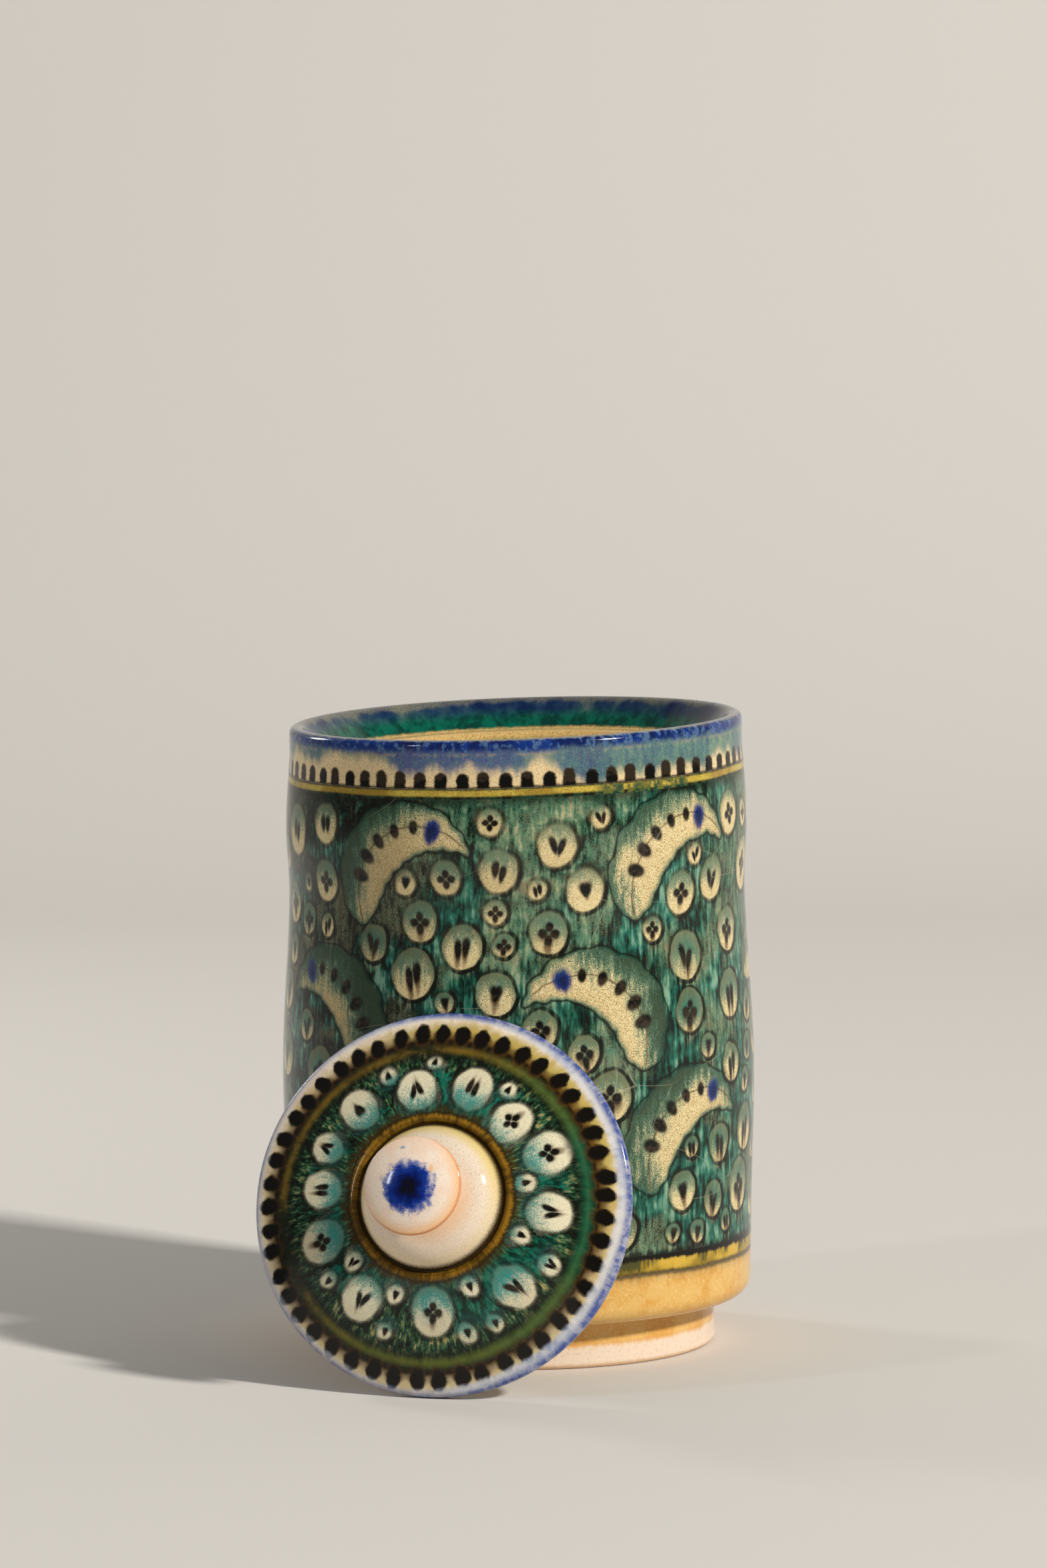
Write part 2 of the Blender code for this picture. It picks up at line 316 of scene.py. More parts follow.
def lid_outline():
    """Named stretches of the lid's outline, from the knob's top round to the underside's centre."""
    knob_edge = LID_DOME + KNOB_RISE
    sphere = (KNOB_RADIUS ** 2 + KNOB_DOME ** 2) / (2 * KNOB_DOME)
    dome_sweep = math.degrees(math.asin((KNOB_RADIUS - 2 * KNOB_EDGE_ROUND) / sphere))
    dome = arc((0, knob_edge + KNOB_DOME - sphere), sphere, 90, 90 - dome_sweep, 16)

    start, end = math.radians(CROWN_START), math.radians(CROWN_END)
    crown_centre = (BOSS_RADIUS - CROWN_ROUND * math.cos(start), LID_DOME - CROWN_ROUND * math.sin(start))
    crown = arc(crown_centre, CROWN_ROUND, CROWN_END, CROWN_START, 12)
    rim = (KNOB_RADIUS, knob_edge)
    neck_top = (NECK_RADIUS, knob_edge - KNOB_UNDERCUT)
    neck_foot = (NECK_RADIUS, crown[0][1] + (crown[0][0] - NECK_RADIUS) / math.tan(end))
    knob = dome + rounded(dome[-1], rim, neck_top, KNOB_EDGE_ROUND, 10)
    knob += rounded(rim, neck_top, neck_foot, UNDERCUT_FILLET, 8)
    knob += rounded(neck_top, neck_foot, crown[0], NECK_FILLET, 10)

    groove = [
        (BOSS_RADIUS + BOSS_GROOVE / 2, LID_DOME - BOSS_GROOVE),
        (BOSS_RADIUS + BOSS_RING / 2, LID_DOME + BOSS_GROOVE / 2),
    ]
    field = [(radius, lid_field_height(radius)) for radius in spaced(BOSS_RADIUS + BOSS_RING, LID_RADIUS)]
    top_edge, bottom_edge = (LID_RADIUS, LID_EDGE), (LID_RADIUS, 0)
    ring_inside = (LID_RADIUS - LID_RING_WIDTH, 0)
    edge = rounded(field[-3], top_edge, bottom_edge, LID_EDGE_ROUND, 8)
    edge += rounded(top_edge, bottom_edge, ring_inside, LID_EDGE_ROUND, 6)
    top = filled([crown[-1]] + groove, 0.6) + field[:-2] + edge

    hollow_radii = spaced(ring_inside[0] - LID_SHELL / 2, BOSS_RADIUS, 2.5)
    hollow = [(radius, lid_field_height(radius) - LID_SHELL) for radius in hollow_radii]
    centre = (0, hollow[-1][1])
    return [
        ("lid_knob", filled(knob + crown, 0.8)),
        ("lid_top", top),
        ("lid_underside", filled([edge[-1], ring_inside] + hollow + [centre], 3)),
    ]


# Skins


def turned_grid(stretches, columns):
    """The whole outline turned a full circle: places on the true form, and each stretch's rows."""
    rows, spans = [], {}
    for name, points in stretches:
        if rows and math.dist(rows[-1], points[0]) < 0.02:
            points = points[1:]
        first = max(len(rows) - 1, 0)
        rows += points
        spans[name] = (first, len(rows))
    radius, height = np.array(rows, float).T
    angle = -np.pi + 2 * np.pi * np.arange(columns + 1) / columns
    rest = np.empty((len(rows), columns + 1, 3))
    rest[..., 0] = radius[:, None] * np.sin(angle)
    rest[..., 1] = -radius[:, None] * np.cos(angle)
    rest[..., 2] = height[:, None]
    return rest, spans


def grid_normals(grid):
    """Unit normals of a closed grid whose last column repeats its first."""
    ring = grid[:, :-1]
    along = np.gradient(ring, axis=0)
    lengths = np.linalg.norm(np.diff(ring, axis=0), axis=2, keepdims=True)
    steps = np.diff(ring, axis=0) / np.maximum(lengths, 1e-9)
    along[1:-1] = steps[1:] + steps[:-1]
    around = np.roll(ring, -1, axis=1) - np.roll(ring, 1, axis=1)
    normals = np.cross(along, around)
    size = np.linalg.norm(normals, axis=2, keepdims=True)
    normals /= np.maximum(size, 1e-12)
    for end, beside in ((0, 1), (-1, -2)):
        if size[end].max() < 1e-6:
            normals[end] = normals[beside].mean(0) / np.linalg.norm(normals[beside].mean(0))
    return np.concatenate([normals, normals[:, :1]], axis=1)


def vector_attribute(mesh, name, domain, values):
    """Attribute of three numbers a point or corner."""
    made = mesh.attributes.new(name, "FLOAT_VECTOR", domain)
    made.data.foreach_set("vector", np.ascontiguousarray(values, np.float32).ravel())


def skin(name, grid, normals, rest, bands=1, corner_fields=()):
    """Mesh object of a stretch of a turned grid, joined where its last column repeats its first.

    The bake map has that many bands, one above the other, or is flat, as from above, for 0."""
    rows, columns = grid.shape[0], grid.shape[1] - 1
    closed = np.allclose(grid[:, 0], grid[:, -1])
    kept = columns if closed else columns + 1
    index = np.arange(rows)[:, None] * kept + np.arange(columns + 1)[None, :] % kept
    quads = face_corners(index).reshape(-1, 4)
    mesh = bpy.data.meshes.new(name)
    mesh.from_pydata((grid[:, :kept].reshape(-1, 3) * MM).tolist(), [], quads.tolist())

    share = np.linspace(0, 1, columns + 1)
    length = np.linalg.norm(np.diff(rest[:, 0], axis=0), axis=1).cumsum()
    down = np.concatenate([[0], length]) / max(length[-1], 1e-9)
    if bands:
        band = np.minimum((share[:-1] * bands + 1e-6).astype(int), bands - 1)
        left, right = share[:-1] * bands - band, share[1:] * bands - band
        u = np.stack([left, left, right, right], -1)[None].repeat(rows - 1, 0)
        v = np.stack([down[:-1], down[1:], down[1:], down[:-1]], -1)[:, None].repeat(columns, 1)
        u = MAP_MARGIN + u * (1 - 2 * MAP_MARGIN)
        v = 1 - (band[None, :, None] + MAP_MARGIN + v * (1 - 2 * MAP_MARGIN)) / bands
    else:
        flat = rest[..., :2] / (np.abs(rest[..., :2]).max() * 2 * (1 + MAP_MARGIN)) + 0.5
        u, v = np.moveaxis(face_corners(flat), -1, 0)
    bake_map = mesh.uv_layers.new(name="OFBake")
    bake_map.data.foreach_set("uv", np.stack([u, v], -1).astype(np.float32).ravel())

    vector_attribute(mesh, "rest_mm", "POINT", rest[:, :kept])
    for field, values in corner_fields:
        vector_attribute(mesh, field, "CORNER", values)
    mesh.shade_smooth()
    mesh.normals_split_custom_set_from_vertices(normals[:, :kept].reshape(-1, 3).tolist())
    return add(name, mesh)


def face_corners(values):
    """Values on a grid as (faces down, faces across, 4 corners, ...)."""
    return np.stack([values[:-1, :-1], values[1:, :-1], values[1:, 1:], values[:-1, 1:]], 2)


# Painted layout

ROUNDEL_GAP = 2.2
WALL_SEED = 11
LID_SEED = 5
SHEET_RADIUS = 74
SHEET_LENGTH = 2 * math.pi * SHEET_RADIUS
CURL_RADIUS = 22
CURL_SWEEP = math.radians(160)
CURL_LENGTH = CURL_RADIUS * CURL_SWEEP
CURL_HALF_WIDTH = 8.4
CURL_LOBE = 0.21
CURL_ROWS = ((150, 5, 0.653, 1), (103, 5, 0.208, -1), (64, 5, 0.694, 1))
CURL_DABS = (13.5, 40.5)
CURL_DAB_PITCH = 6.75
CURL_FULLNESS = 2.88
CURL_TURN = math.radians(-28)
CURL_TURN_STEP = math.radians(66)
BORDER_DABS = 67
BORDER_LINE = 184.6
BORDER_PITCH = 2 * math.pi * COLLAR_RADIUS / BORDER_DABS
LID_DABS = 48
LID_DAB_RADIUS = 54.1
LID_RINGS_ASIDE = 0.9
LID_RINGS_BELOW = 1.5
LID_BAND_RADIUS = 48.4
LID_FIELD_RING = (26.4, 45.8)
LID_DAB_PITCH = 2 * math.pi * LID_DAB_RADIUS / LID_DABS


def scatter(sizes, place, apart, blocked, chance):
    """Roundels (x, y, radius) thrown one by one, largest first, where they fit."""
    kept = []
    for low, high, tries in sizes:
        radius = chance.uniform(low, high, tries)
        x, y = place(chance, tries)
        free = ~blocked(x, y, radius)
        for a, b, r in zip(x[free], y[free], radius[free]):
            if all(apart(a, b, other) > r + other[2] + ROUNDEL_GAP for other in kept):
                kept.append((a, b, r))
    return kept


def roundel_fields(sheet, roundels, marks, local):
    """For each face's nearest roundel, as corner fields: x and y from its centre, radius and marks,
    and how much nearer it is than the next."""

    def gaps(points):
        return np.stack([np.hypot(*local(points, roundel)) - roundel[2] for roundel in roundels])

    corners = face_corners(sheet)
    centres = corners.mean(2)
    nearest = gaps(centres).argmin(0)
    spot, mark = np.zeros((2,) + corners.shape[:3] + (3,))
    for number, roundel in enumerate(roundels):
        chosen = nearest == number
        x, y = local(corners[chosen], roundel, centres[chosen][:, None, :])
        spot[chosen] = np.stack([x, y, np.full(x.shape, roundel[2])], -1)
        mark[chosen] = marks[number]
    first, second = np.partition(gaps(sheet), 1, axis=0)[:2]
    lead = face_corners(second - first)
    return [("spot", spot), ("mark", mark), ("lead", np.stack([lead] * 3, -1))]


def wrapped(distance):
    """Distance along the unrolled wall, the short way round."""
    return distance - SHEET_LENGTH * np.round(distance / SHEET_LENGTH)


def curl_shapes():
    """Curled leaves in three staggered rows, as (centre x, centre z, turn, side)."""
    shapes = []
    for height, count, offset, side in CURL_ROWS:
        for i in range(count):
            x = wrapped((i + offset) / count * SHEET_LENGTH)
            turn = CURL_TURN + CURL_TURN_STEP * (i % 2)
            shapes.append((x, height, turn, side if i % 2 else -side))
    return shapes


def curl_half_width(share):
    """Half width of a scalloped curled leaf at a share of its length, from its stem to its tip."""
    lobe = 1 + CURL_LOBE * np.cos(2 * math.pi * (share * CURL_LENGTH - CURL_DABS[0]) / CURL_DAB_PITCH)
    return CURL_HALF_WIDTH * CURL_FULLNESS * share**0.6 * (1 - share) * lobe


def curl_field(x, z, shape):
    """Place along a curled leaf, across it, and the distance outside its edge."""
    turn = shape[2]
    across, up = wrapped(x - shape[0]) * shape[3], z - shape[1]
    a = across * math.cos(turn) + up * math.sin(turn)
    b = -across * math.sin(turn) + up * math.cos(turn)
    angle = np.arctan2(b, a)
    start = (math.pi - CURL_SWEEP) / 2
    along = (angle - start) * CURL_RADIUS
    opening = start - (2 * math.pi - CURL_SWEEP) / 2
    along = np.where(angle < opening, along + 2 * math.pi * CURL_RADIUS, along)
    away = np.hypot(a, b) - CURL_RADIUS
    outside = np.full(np.shape(x), 1e3)
    for share in np.linspace(0.01, 1, 72):
        bead = start + share * CURL_SWEEP
        distance = np.hypot(a - CURL_RADIUS * math.cos(bead), b - CURL_RADIUS * math.sin(bead))
        outside = np.minimum(outside, distance - curl_half_width(share))
    return along, away, outside


def jar_layout():
    """The wall's curled leaves, the roundels fitted between them, and the roundels' marks."""
    chance = np.random.default_rng(WALL_SEED)
    curled = curl_shapes()

    def place(source, tries):
        return source.uniform(0, SHEET_LENGTH, tries), source.uniform(FIELD_FOOT, FIELD_TOP, tries)

    def apart(x, z, other):
        gap = abs(x - other[0])
        return math.hypot(min(gap, SHEET_LENGTH - gap), z - other[1])

    def blocked(x, z, radius):
        outside = (z + radius > FIELD_TOP - 1.5) | (z - radius < FIELD_FOOT + 1.5)
        for shape in curled:
            outside |= curl_field(x, z, shape)[2] < radius + ROUNDEL_GAP * 0.7
        return outside

    sizes = ((7.6, 8.6, 60), (6.0, 7.4, 2500), (4.8, 5.8, 3000), (3.2, 4.4, 3000), (2.5, 3.0, 500))
    made = scatter(sizes, place, apart, blocked, chance)
    return curled, made, seed_marks(made, chance)


def seed_marks(roundels, chance):
    """For each roundel: 0 for a cross of four dabs up to 3 for one dab, its turn, and a free number."""
    marks = []
    for roundel in roundels:
        kind = chance.integers(0, 4) if roundel[2] > 3.2 else 3
        marks.append((float(kind), chance.uniform(-0.2, 0.2), chance.uniform(0, 1)))
    return marks


# Procedural paint

GLAZE_IOR = 1.5
GLAZE_SPECULAR = 0.28
RELIEF = 0.00025
RELIEF_STRENGTH = 0.35


class Wire:
    """An output of the material at hand, with arithmetic that adds the math nodes it needs."""

    def __init__(self, socket):
        self.socket = socket

    __add__ = __radd__ = lambda self, other: op("ADD", self, other)
    __sub__ = lambda self, other: op("SUBTRACT", self, other)
    __rsub__ = lambda self, other: op("SUBTRACT", other, self)
    __mul__ = __rmul__ = lambda self, other: op("MULTIPLY", self, other)
    __truediv__ = lambda self, other: op("DIVIDE", self, other)

    def sway(self, reach):
        """A noise moved to lie about 0, times a reach."""
        return (self - 0.5) * reach

    def coat(self, share, colour):
        """Lay a share of another colour over this one."""
        self.socket = mix(share, self, colour).socket


class Paint:
    """The material at hand: its node tree, and the places and fine grain that its nodes share."""


def new_material(name):
    """Make a material the one at hand."""
    Paint.material = bpy.data.materials.new(name)
    Paint.material.use_nodes = True
    Paint.tree = Paint.material.node_tree


def begin(name):
    """Start a glaze; gives its places on the true form, x, y and z, and its fine grain."""
    new_material(name)
    Paint.place = attribute("rest_mm")
    Paint.x, Paint.y, Paint.z = split(Paint.place)
    Paint.grain = noise(3, 2, 0.7)
    return Paint.x, Paint.y, Paint.z, Paint.grain


def feed(socket, value):
    if isinstance(value, Wire):
        Paint.tree.links.new(value.socket, socket)
    else:
        socket.default_value = value


def node(kind, inputs, output=0, **settings):
    """One output of a new node with these inputs and settings."""
    made = Paint.tree.nodes.new(kind)
    for key, value in settings.items():
        setattr(made, key, value)
    for key, value in inputs.items():
        feed(made.inputs[key], value)
    return Wire(made.outputs[output])


def op(operation, *values):
    return node("ShaderNodeMath", dict(enumerate(values)), operation=operation)


def attribute(name):
    return node("ShaderNodeAttribute", {}, "Vector", attribute_name=name)


def split(vector):
    made = Paint.tree.nodes.new("ShaderNodeSeparateXYZ")
    feed(made.inputs[0], vector)
    return [Wire(output) for output in made.outputs]


def field(name):
    """The three numbers of an attribute."""
    return split(attribute(name))


def vector(x, y, z):
    return node("ShaderNodeCombineXYZ", {0: x, 1: y, 2: z})


def stretched(share):
    """Places whose height counts for a share, so that noise runs down the wall."""
    return vector(Paint.x, Paint.y, Paint.z * share)


def ramp(value, low, high, start=0, end=1):
    """Smooth run from start to end as the value goes from low to high."""
    inputs = {0: value, 1: low, 2: high, 3: start, 4: end}
    return node("ShaderNodeMapRange", inputs, interpolation_type="SMOOTHSTEP")


def line(value, centre, half_width, soft):
    """1 within half a width of the centre, fading over a soft edge."""
    return ramp(op("ABSOLUTE", value - centre), half_width + soft, half_width - soft)


def hypot(x, y):
    return op("SQRT", x * x + y * y)


def noise(scale, detail=2, roughness=0.5, output="Fac", place=None):
    inputs = {"Vector": place or Paint.place, "Scale": scale, "Detail": detail, "Roughness": roughness}
    return node("ShaderNodeTexNoise", inputs, output)


def drift(scale, reach):
    """Two slow, unlike wanderings of up to about the reach either way."""
    return [part.sway(4 * reach) for part in split(noise(scale, 1, output="Color"))[:2]]


def around():
    """Angle round the axis, from the front towards the right."""
    return op("ARCTAN2", Paint.x, 0 - Paint.y)


def facing(angle):
    """1 at an angle round the axis, falling to -1 on the far side."""
    return op("COSINE", around() - angle)


def dab_row(count, jitter):
    """For dabs in a ring: place across the nearest dab, in dab pitches, and its free number."""
    turns = around() * (count / (2 * math.pi)) + 100
    free = node("ShaderNodeTexWhiteNoise", {"W": op("FLOOR", turns)}, noise_dimensions="1D")
    return op("FRACT", turns) - 0.5 + free.sway(jitter), free


def pigment(colour):
    """A wire as it is, or the linear colour for red, green and blue from 0 to 255."""
    return colour if isinstance(colour, Wire) else srgb(*colour)


def mix(share, first, second):
    """The first colour with a share of the second."""
    inputs = {0: share, 6: pigment(first), 7: pigment(second)}
    return node("ShaderNodeMix", inputs, 2, data_type="RGBA")


def colours(value, *stops):
    """Colour that runs through (place, colour) stops as the value rises."""
    made = Paint.tree.nodes.new("ShaderNodeValToRGB")
    feed(made.inputs[0], value)
    elements = made.color_ramp.elements
    elements[0].position, elements[1].position = stops[0][0], stops[-1][0]
    for stop in stops[1:-1]:
        elements.new(stop[0])
    for element, stop in zip(elements, stops):
        element.color = srgb(*stop[1])
    return Wire(made.outputs[0])


def finish(colour, roughness, relief=RELIEF, height=None):
    """Wire up colour, roughness and relief; gives the material."""
    if height is None:
        height = noise(0.1) * 0.92 + noise(1.1) * 0.08
    shader = Paint.tree.nodes["Principled BSDF"].inputs
    bump = node("ShaderNodeBump", {"Strength": RELIEF_STRENGTH, "Distance": relief, "Height": height})
    for name, value in (("Base Color", colour), ("Roughness", roughness), ("Normal", bump)):
        feed(shader[name], value)
    shader["IOR"].default_value = GLAZE_IOR
    shader["Specular IOR Level"].default_value = GLAZE_SPECULAR
    return Paint.material


# Colours, red, green and blue from 0 to 255
INK = (12, 10, 5)
BROWN_INK = (80, 50, 28)
UMBER = (58, 46, 34)
CREAM = (226, 208, 158)
CREAM_SHADE = (150, 122, 72)
WHITE = (226, 219, 188)
COBALT = (6, 44, 120)
COBALT_DEEP = (4, 22, 78)
TURQUOISE = (14, 138, 134)
GREEN_GREY = (72, 114, 96)
YELLOW = (200, 176, 76)
YELLOW_SHADE = (120, 98, 36)


def speckled(colour, shade, low=0.45, high=0.62):
    """A glaze colour with fine darker grain."""
    return mix(ramp(Paint.grain, low, high), colour, shade)


class Ground:
    """The noises that a brushed ground shares with what is painted on it."""

    def __init__(self, streak_place, patch_scale):
        self.streak = noise(0.62, 3, 0.6, place=streak_place)
        self.patch = noise(patch_scale)
        self.clump = noise(0.42, 3, 0.65)
        self.blotch = noise(patch_scale * 3.1)
        self.dark = ramp(self.blotch + self.clump.sway(0.6), 0.58, 0.42)
        self.colour = None


def brushed_green(ground, depth, painted_light_and_shade):
    """The wall's ground: mottled and streaked wash, smooth teal pools, and dark strokes."""
    grain, streak, patch = Paint.grain, ground.streak, ground.patch
    clump, blotch = ground.clump, ground.blotch
    # The side term darkens the wash and adds dark strokes towards the left, and lightens them a little at
    # the front middle: painted shade and painted light.
    wash = colours(
        streak * 0.34 + clump * 0.28 + grain * 0.16 + blotch * 0.22 - painted_light_and_shade, (0.405, (10, 13, 4)),
        (0.45, (24, 48, 32)), (0.5, (46, 86, 66)), (0.56, (90, 126, 98)), (0.635, (172, 168, 128))
    )
    sage = ramp(patch + clump.sway(0.4), 0.5, 0.38) * ramp(grain, 0.4, 0.54)
    wash.coat(sage * 0.45, (138, 144, 112))
    umber = ramp(blotch * 0.6 + clump * 0.4, 0.53, 0.62) * ramp(patch, 0.56, 0.42)
    wash.coat(umber * 0.6, (96, 84, 58))
    pool = colours(
        streak * 0.55 + blotch * 0.45, (0.39, (0, 26, 20)), (0.465, (5, 64, 53)), (0.54, (32, 110, 93)),
        (0.63, (122, 162, 138))
    )
    wash.coat(ramp(patch + depth * 0.13 + clump.sway(0.3), 0.52, 0.66) * 0.85, pool)
    strokes = ramp(streak + grain.sway(0.4) - painted_light_and_shade, 0.46, 0.37)
    wash.coat(strokes * (ground.dark * 0.65 + 0.2), INK)
    return wash


def seed_distance(x, y, kind, free):
    """Distance from the dark seeds in a roundel, 1 at their edge, in roundel radii.

    Kinds run from 0, a cross of four dabs, over two strokes and a heart to 3, one drop."""
    beside, above = op("ABSOLUTE", x), op("ABSOLUTE", y)
    long_side, short_side = op("MAXIMUM", beside, above), op("MINIMUM", beside, above)
    cross = hypot((long_side - 0.27) / 0.21, short_side / 0.17)
    gap = ramp(kind, 2.9, 2.1, 0, 0.17)
    lean = ramp(kind, 1.4, 2, 0.04, 0.3)
    width = ramp(kind, 2.1, 2.9, 0.155, 0.23) * (y * 0.5 + 1)
    step = op("SIGN", x) * (free - 0.5) * ramp(kind, 2.6, 2.2, 0, 0.26)
    pair = hypot((beside - gap - y * lean) / width, (y + step) / 0.36)
    return pair + op("LESS_THAN", kind, 0.5) * (cross - pair)


def roundels(ground, cream, wash, washed, sunk, flow, worn, seed_size):
    """Pale roundels in thin dark rings, washed with green from above, with dark seeds that ran."""
    grain, streak = Paint.grain, ground.streak
    spot_x, spot_y, radius = field("spot")
    kind, turn, free = field("mark")
    drift_x, drift_y = drift(0.15, 0.45)
    x, y = spot_x * 1.05 + drift_x, spot_y * 0.95 + drift_y
    ring, rise = hypot(x, y) - radius, y / radius

    crowd = ramp(ring + grain.sway(2), 3, 0.2) * (ground.dark * 0.6 + 0.4)
    colour = mix(crowd * ramp(streak, 0.6, 0.46) * 0.85, ground.colour, INK)
    sag = ramp(ring + streak.sway(14), 6, 0.5) * ramp(rise, -0.8, -1.2)
    sag = sag * ramp(op("ABSOLUTE", x / radius), 0.9, 0.3) * ramp(sunk, 0.08, 0.2)
    sag = sag * ramp(field("lead")[0], 0.3, 2.4) * ramp(streak, 0.42, 0.56)
    colour.coat(sag * 0.6, (150, 156, 120))
    veil = mix(0.35, mix(0.5, wash, ground.colour), CREAM_SHADE)
    colour.coat(ramp(ring + grain.sway(1.2), 0.5, -0.3), veil)

    edge = hypot(x, y + radius * sunk) - radius * (1 - sunk) + grain.sway(2.6)
    pale = mix(ramp(grain, 0.45, 0.62) * worn, cream, CREAM_SHADE)
    pale.coat(ramp(free, 0.3, 1) * 0.25, CREAM_SHADE)
    level = rise * 0.62 + free * 0.5 + streak.sway(1.1) + grain.sway(1.5) + washed
    pale.coat(ramp(level, 0.3, 1) * 0.95, mix(0.2, wash, ground.colour))
    soft = ramp(rise, -0.6, 0.8, 0.7, 3.4)
    colour.coat(ramp(edge, soft, 0 - soft), pale)

    heavy = ramp((x - y * 0.5) / radius, -0.9, 1.1)
    half = heavy * 0.26 + ramp(sunk, 0.07, 0.18, 0.2, 0.32)
    soft = ramp(sunk, 0.07, 0.18, 0.9, 0.35)
    outline = ramp(op("ABSOLUTE", ring - 0.35 + drift_y * 0.4), half + soft, half - 0.1)
    strength = heavy * 0.35 + ramp(streak, 0.62, 0.42) * 0.25 + ramp(sunk, 0.07, 0.18, 0.3, 0.5)
    colour.coat(outline * strength, (14, 18, 8))

    size = (radius * 0.75 + 1.9) * seed_size
    seed_x = (spot_x + spot_y * turn) / size + drift_x * 0.05
    seed_y = (spot_y - spot_x * turn) / size + drift_y * 0.05 + 0.03
    low = op("MINIMUM", seed_y, 0)
    run = flow * (streak * 1.6 - 0.3)
    drip = seed_distance(seed_x, seed_y - low * (run / (run + 0.6)), kind, free)
    trail = ramp(drip + streak.sway(2.5), 1.6, 0.6) * ramp(seed_y, 0.05, -0.25)
    inside = ramp(ring, 0.2, -0.6)
    colour.coat(trail * inside * ramp(flow, 0.1, 1.2) * 0.8, BROWN_INK)
    short = run * 0.4
    seeds = seed_distance(seed_x, seed_y - low * (short / (short + 1)), kind, free)
    seeds = seeds + grain.sway(1.6)
    tone = mix(ramp(ground.clump + free.sway(0.2), 0.48, 0.6) * 0.5, INK, UMBER)
    colour.coat(ramp(seeds, 1.45, 0.8) * inside, tone)
    return colour


def curled_leaves(ground, colour, depth, painted_light_and_shade):
    """Cream curled leaves: thin outline, dark dabs strung down the middle, and one blue patch."""
    grain, streak = Paint.grain, ground.streak
    along, across, outside = field("curl")
    drift_x, drift_y = drift(0.16, 0.6)
    edge = outside + drift_x + grain.sway(2.2)
    pale = speckled(CREAM, CREAM_SHADE)
    pale.coat(ramp(edge, -2.6, 0.3) * 0.3, CREAM_SHADE)
    # Leaves painted duller, and washed greener, towards the left: painted shade.
    pale.coat(ramp(painted_light_and_shade, 0, 0.08) * 0.35, CREAM_SHADE)
    washed = ground.patch * 0.7 + depth * 0.17 + across * 0.035
    washed = washed + painted_light_and_shade * 1.6 + grain.sway(0.6) + streak.sway(0.6)
    green = colours(washed, (0.4, (112, 130, 100)), (0.58, (54, 102, 84)), (0.8, (10, 56, 42)))
    pale.coat(ramp(washed, 0.36, 0.66) * 0.94, green)
    shade = ramp(edge, 4.6, 0.6) * (ground.dark * 0.5 + 0.5) * ramp(streak, 0.6, 0.46)
    colour.coat(shade * 0.85, INK)
    colour.coat(ramp(edge, 1.2, 0.3) * 0.6, green)
    colour.coat(ramp(edge, 0.6, -0.9), pale)
    outline = line(outside + drift_x, 1, 0.34, 0.4)
    colour.coat(outline * 0.95, (14, 18, 8))

    cell = op("WRAP", along - CURL_DABS[0], CURL_DAB_PITCH / 2, -CURL_DAB_PITCH / 2)
    small = ramp(along, CURL_DABS[0] - 2, CURL_DABS[1] + 2, 1.1, 0.75)
    middle, half = (CURL_DABS[0] + CURL_DABS[1]) / 2, (CURL_DABS[1] - CURL_DABS[0]) / 2
    within = line(along, middle, half + CURL_DAB_PITCH / 2, 0.2)
    thread = line(across + drift_y * 0.6, 0.6, 0.25, 0.35) * ramp(edge, 0.2, -1)
    colour.coat(thread * 0.8, BROWN_INK)
    dab = hypot(cell / (small * 1.8), (across - 0.3) / (small * 2.7)) + grain.sway(1.2)
    tone = mix(ramp(ground.clump, 0.46, 0.58) * 0.85, INK, UMBER)
    colour.coat(ramp(dab, 1.35, 0.8) * within, tone)
    patch = hypot((along - CURL_DABS[1] - CURL_DAB_PITCH * 0.95) / 2.6, (across + 0.4) / 3.6)
    patch = patch + grain.sway(1.6) + streak.sway(1.4)
    blue = mix(ramp(patch, 0.85, 0.25) * 0.8, (12, 44, 112), (4, 14, 48))
    colour.coat(ramp(patch, 1.35, 0.75) * ramp(edge, 0.2, -1) * 0.99, blue)


def crazing(colour):
    """A few pale hairline cracks in the glaze."""
    place = stretched(1.6)
    bent = noise(0.02, 1, output="Color", place=place)
    place = node("ShaderNodeVectorMath", {0: bent, 1: (18, 18, 18), 2: place}, operation="MULTIPLY_ADD")
    cells = node("ShaderNodeTexVoronoi", {"Vector": place, "Scale": 0.022}, feature="DISTANCE_TO_EDGE")
    shown = ramp(noise(0.03, 1), 0.5, 0.58)
    colour.coat(ramp(cells, 0.0045, 0.0015) * shown * 0.22, (196, 190, 160))


def jar_field_paint():
    """The green wall with its leaves and roundels."""
    z = begin("jar_field_glaze")[2]
    depth = ramp(z, 172, 110)
    # Painted light and shade: the wall is painted darker towards the left side and a little lighter at
    # the front middle, standing in for the key light from the right.
    painted_light_and_shade = ramp(facing(-1.1), 0.5, 0.95, -0.015, 0.105)
    painted_light_and_shade = painted_light_and_shade - ramp(facing(-0.05), 0.84, 0.98) * 0.03
    ground = Ground(stretched(0.2), 0.045)
    ground.colour = brushed_green(ground, depth, painted_light_and_shade)
    wash = mix(depth, GREEN_GREY, (26, 106, 92))
    flow = ramp(z, 168, 90, 0.1, 2.6)
    sunk = depth * 0.13 + 0.07
    # Roundels washed further towards the left: painted shade.
    washed = depth * 0.42 + painted_light_and_shade * 1.5 + 0.12
    colour = roundels(ground, CREAM, wash, washed, sunk, flow, 0.7, 1)
    curled_leaves(ground, colour, depth, painted_light_and_shade)
    top = ramp(z + ground.streak.sway(8), FIELD_TOP - 3, FIELD_TOP - 0.2)
    colour.coat(top * 0.7, (20, 24, 10))
    foot = ramp(z + ground.streak.sway(5), FIELD_FOOT + 2.6, FIELD_FOOT + 0.3)
    colour.coat(foot * 0.9, INK)
    crazing(colour)
    return finish(colour, 0.12)


